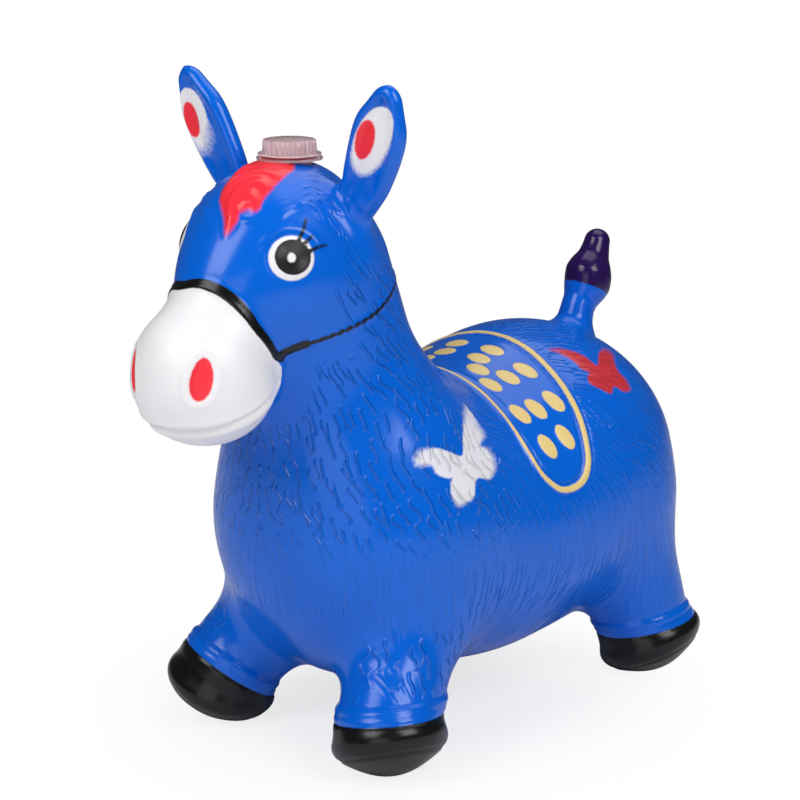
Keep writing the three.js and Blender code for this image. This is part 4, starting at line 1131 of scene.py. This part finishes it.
# Turned and ribbed pieces, in metres
CAP_TOP_RADIUS, CAP_FOOT_RADIUS, CAP_BORE, CAP_ROOF = 0.0205, 0.0212, 0.0184, 0.0018
FLANGE_RADIUS, FLANGE = 0.0255, 0.0016
CAP_ROUNDING = 0.0007
CAP_RIBS, RIB_STEPS, RIB_HEIGHT, RIB_FLATNESS = 30, 12, 0.0007, 2.2
RIB_RADIUS, RIB_FOOT, RIB_TOP = 0.0195, 0.0021, 0.0006
PLUG_HEAD_RADIUS, PLUG_HEAD, PLUG_STEM, PLUG_TIP = 0.009, 0.0024, 0.0042, 0.0032
PLUG_ROUNDING, PLUG_SIDES = 0.0008, 48


def turned(name, section, sides, centre, ripple=None):
    """A closed body turned round Z from (radius, height) corners that start and end on the axis."""
    angles = np.arange(sides) * 2 * math.pi / sides
    rows = []
    for radius, z in section:
        ring = np.full(sides, radius)
        if ripple is not None:
            ring = ring + ripple(angles, radius, z)
        rows.append(np.stack([ring * np.cos(angles), ring * np.sin(angles), np.full(sides, z)], 1))
    points = np.concatenate(rows) + np.asarray(centre)
    quads = []
    for row in range(len(section) - 1):
        a = row * sides + np.arange(sides)
        b = row * sides + (np.arange(sides) + 1) % sides
        quads.append(np.stack([a, b, b + sides, a + sides], 1))
    obj = build_mesh(name, points, np.concatenate(quads))
    bm = bmesh.new()
    bm.from_mesh(obj.data)
    bmesh.ops.remove_doubles(bm, verts=bm.verts, dist=1e-6)
    bmesh.ops.recalc_face_normals(bm, faces=bm.faces)
    bm.to_mesh(obj.data)
    bm.free()
    return obj


def softened(section, radius, steps=3, share=0.45):
    """The same section with each inner corner rounded off, within a share of the sides that meet there."""
    out = [section[0]]
    for a, b, c in zip(section[:-2], section[1:-1], section[2:]):
        a, b, c = (np.array(v, float) for v in (a, b, c))
        into, away = b - a, c - b
        reach = min(radius, share * np.linalg.norm(into), share * np.linalg.norm(away))
        start = b - into / np.linalg.norm(into) * reach
        stop = b + away / np.linalg.norm(away) * reach
        for t in np.linspace(0, 1, steps + 1):
            out.append(tuple((1 - t) ** 2 * start + 2 * t * (1 - t) * b + t ** 2 * stop))
    return out + [section[-1]]


CLEAR = plain_material("clear_plastic", rgb(250, 230, 234), rgb(243, 216, 222), 0.12, bump=0.0001,
                       transmission=0.7)
cap_low, cap_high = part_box("unit_cap")
cap_top = cap_high.z - cap_low.z
cap_section = softened([
    (0.0, cap_top), (CAP_TOP_RADIUS, cap_top), (CAP_FOOT_RADIUS, FLANGE), (FLANGE_RADIUS, FLANGE),
    (FLANGE_RADIUS, 0.0), (CAP_BORE, 0.0), (CAP_BORE, cap_top - CAP_ROOF), (0.0, cap_top - CAP_ROOF),
], CAP_ROUNDING)


def rib(angles, radius, z):
    if radius < RIB_RADIUS or z < RIB_FOOT or z > cap_top - RIB_TOP:
        return np.zeros(len(angles))
    return RIB_HEIGHT * np.clip(RIB_FLATNESS * np.cos(angles * CAP_RIBS), -1, 1)


cap_centre = ((cap_low.x + cap_high.x) / 2, (cap_low.y + cap_high.y) / 2, cap_low.z)
cap = turned("clear_cap", cap_section, RIB_STEPS * CAP_RIBS, cap_centre, rib)
cap.data.materials.append(CLEAR)
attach(cap, "unit_cap")
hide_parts("unit_cap")

plug_length = plug_high.z - plug_low.z
plug_section = softened([
    (0.0, 0.0), (PLUG_HEAD_RADIUS, 0.0), (PLUG_HEAD_RADIUS, PLUG_HEAD), (PLUG_STEM, PLUG_HEAD),
    (PLUG_TIP, plug_length), (0.0, plug_length),
], PLUG_ROUNDING)
plug = turned("belly_plug", plug_section, PLUG_SIDES, (0, (plug_low.y + plug_high.y) / 2, plug_low.z))
plug.data.materials.append(plain_material("plug_plastic", rgb(232, 232, 228), rgb(214, 214, 210), 0.42))
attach(plug, "air_plug")
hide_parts("air_plug")

# The unit's inner pieces keep their solids
steel = plain_material("plated_steel", rgb(196, 198, 202), rgb(150, 154, 160), 0.28, metallic=1.0, scale=90)
brass = plain_material("stamped_brass", rgb(206, 168, 92), rgb(160, 120, 60), 0.35, metallic=1.0, scale=90)
black = plain_material("black_plastic", rgb(26, 26, 28), rgb(14, 14, 16), 0.5, scale=80)
led = plain_material("led_resin", rgb(250, 60, 60), rgb(220, 30, 36), 0.14, bump=0.0001, transmission=0.4)
kept = {
    "unit_cup": CLEAR,
    "cap_seal": plain_material("seal_rubber", rgb(196, 58, 68), rgb(168, 44, 54), 0.6),
    "lower_contact": brass, "upper_contact": brass,
    "circuit_board": plain_material("coated_board", rgb(168, 34, 44), rgb(128, 20, 30), 0.4, scale=140),
    "buzzer": black, "motion_switch": black,
}
for number in (1, 2, 3):
    kept[f"button_cell_{number}"] = steel
    kept[f"led_{number}"] = led
for number in (1, 2):
    kept[f"board_screw_{number}"] = steel
for name, material in kept.items():
    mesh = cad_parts[name].data
    mesh.materials.clear()
    mesh.materials.append(material)

# Floor, light and camera, in metres
FLOOR_HALF, FLOOR_COLOUR, FLOOR_ROUGHNESS, FLOOR_SHINE = 9, rgb(246, 246, 247), 0.6, 0.2
FADE_FROM, FADE_TO = (0.05, 0.33), (0.74, 1.0)
AMBIENT = 0.07
LIT = Vector((0.0, -0.015, 0.27))
SOFTBOXES = {
    "left_softbox": {"direction": (-0.07, -0.785, 0.616), "distance": 1.7, "size": (0.8, 0.9), "power": 13},
    "right_softbox": {"direction": (0.8, -0.07, 0.6), "distance": 1.7, "size": (0.8, 0.9), "power": 15.5},
    "fill_softbox": {"direction": (0.4, -0.9, 0.1), "distance": 1.8, "size": (1.2, 0.8), "power": 4},
    "top_softbox": {"direction": (-0.05, 0.35, 1.0), "distance": 1.6, "size": (1.4, 1.4), "power": 12.5},
}
AZIMUTH, ELEVATION, DISTANCE = 42.7, 13.7, 2.0
AIM = (4.4, 104.5, 277)
PIXELS_PER_MM, IMAGE_SIDE, SENSOR = 1.173, 800, 36.0


def backdrop_ray(tree):
    path = tree.nodes.new("ShaderNodeLightPath")
    return maths("MAXIMUM", tree, path.outputs["Is Camera Ray"], path.outputs["Is Transmission Ray"])


def floor_material():
    """A pale floor that keeps the shadow and fades to the white backdrop."""
    material, tree, shader = nodes_of("pale_floor")
    shader.inputs["Base Color"].default_value = FLOOR_COLOUR
    shader.inputs["Roughness"].default_value = FLOOR_ROUGHNESS
    shader.inputs["Specular IOR Level"].default_value = FLOOR_SHINE
    glow = tree.nodes.new("ShaderNodeEmission")
    far = add_node(tree, "ShaderNodeVectorMath", operation="LENGTH")
    feed(tree, far.inputs[0], tree.nodes.new("ShaderNodeTexCoord").outputs["Object"])
    fade = add_node(tree, "ShaderNodeMapRange", interpolation_type="SMOOTHSTEP")
    for index, value in enumerate((far.outputs["Value"], *FADE_FROM, *FADE_TO)):
        feed(tree, fade.inputs[index], value)
    blend = tree.nodes.new("ShaderNodeMixShader")
    shown = times(tree, fade.outputs[0], backdrop_ray(tree))
    for socket, value in zip(blend.inputs, (shown, shader.outputs[0], glow.outputs[0])):
        feed(tree, socket, value)
    feed(tree, tree.nodes["Material Output"].inputs["Surface"], blend.outputs[0])
    return material


corners = [(-FLOOR_HALF, -FLOOR_HALF, 0), (FLOOR_HALF, -FLOOR_HALF, 0), (FLOOR_HALF, FLOOR_HALF, 0),
           (-FLOOR_HALF, FLOOR_HALF, 0)]
floor = build_mesh("floor", corners, [(0, 1, 2, 3)])
floor.data.materials.append(floor_material())

world = bpy.data.worlds.new("studio")
bpy.context.scene.world = world
world.use_nodes = True
tree = world.node_tree
sky = tree.nodes["Background"]
sky.inputs["Color"].default_value = (1, 1, 1, 1)
shown = times(tree, backdrop_ray(tree), 1 - AMBIENT)
feed(tree, sky.inputs["Strength"], plus(tree, AMBIENT, shown))


def softbox(name, direction, distance, size, power):
    light = bpy.data.lights.new(name, "AREA")
    light.shape = "RECTANGLE"
    light.size, light.size_y = size
    light.energy = power
    obj = bpy.data.objects.new(name, light)
    bpy.context.scene.collection.objects.link(obj)
    way = Vector(direction).normalized()
    obj.location = LIT + way * distance
    obj.rotation_euler = way.to_track_quat("Z", "Y").to_euler()


for name, values in SOFTBOXES.items():
    softbox(name, **values)

az, el = math.radians(AZIMUTH), math.radians(ELEVATION)
back = Vector((math.sin(az) * math.cos(el), -math.cos(az) * math.cos(el), math.sin(el)))
camera = bpy.data.cameras.new("camera")
camera.sensor_width = SENSOR
camera.lens = PIXELS_PER_MM * DISTANCE / MM / IMAGE_SIDE * SENSOR
camera.clip_end = 50.0
eye = bpy.data.objects.new("camera", camera)
bpy.context.scene.collection.objects.link(eye)
eye.location = Vector(metres(AIM)) + back * DISTANCE
eye.rotation_euler = back.to_track_quat("Z", "Y").to_euler()
bpy.context.scene.camera = eye

bpy.context.scene.view_settings.view_transform = "Standard"
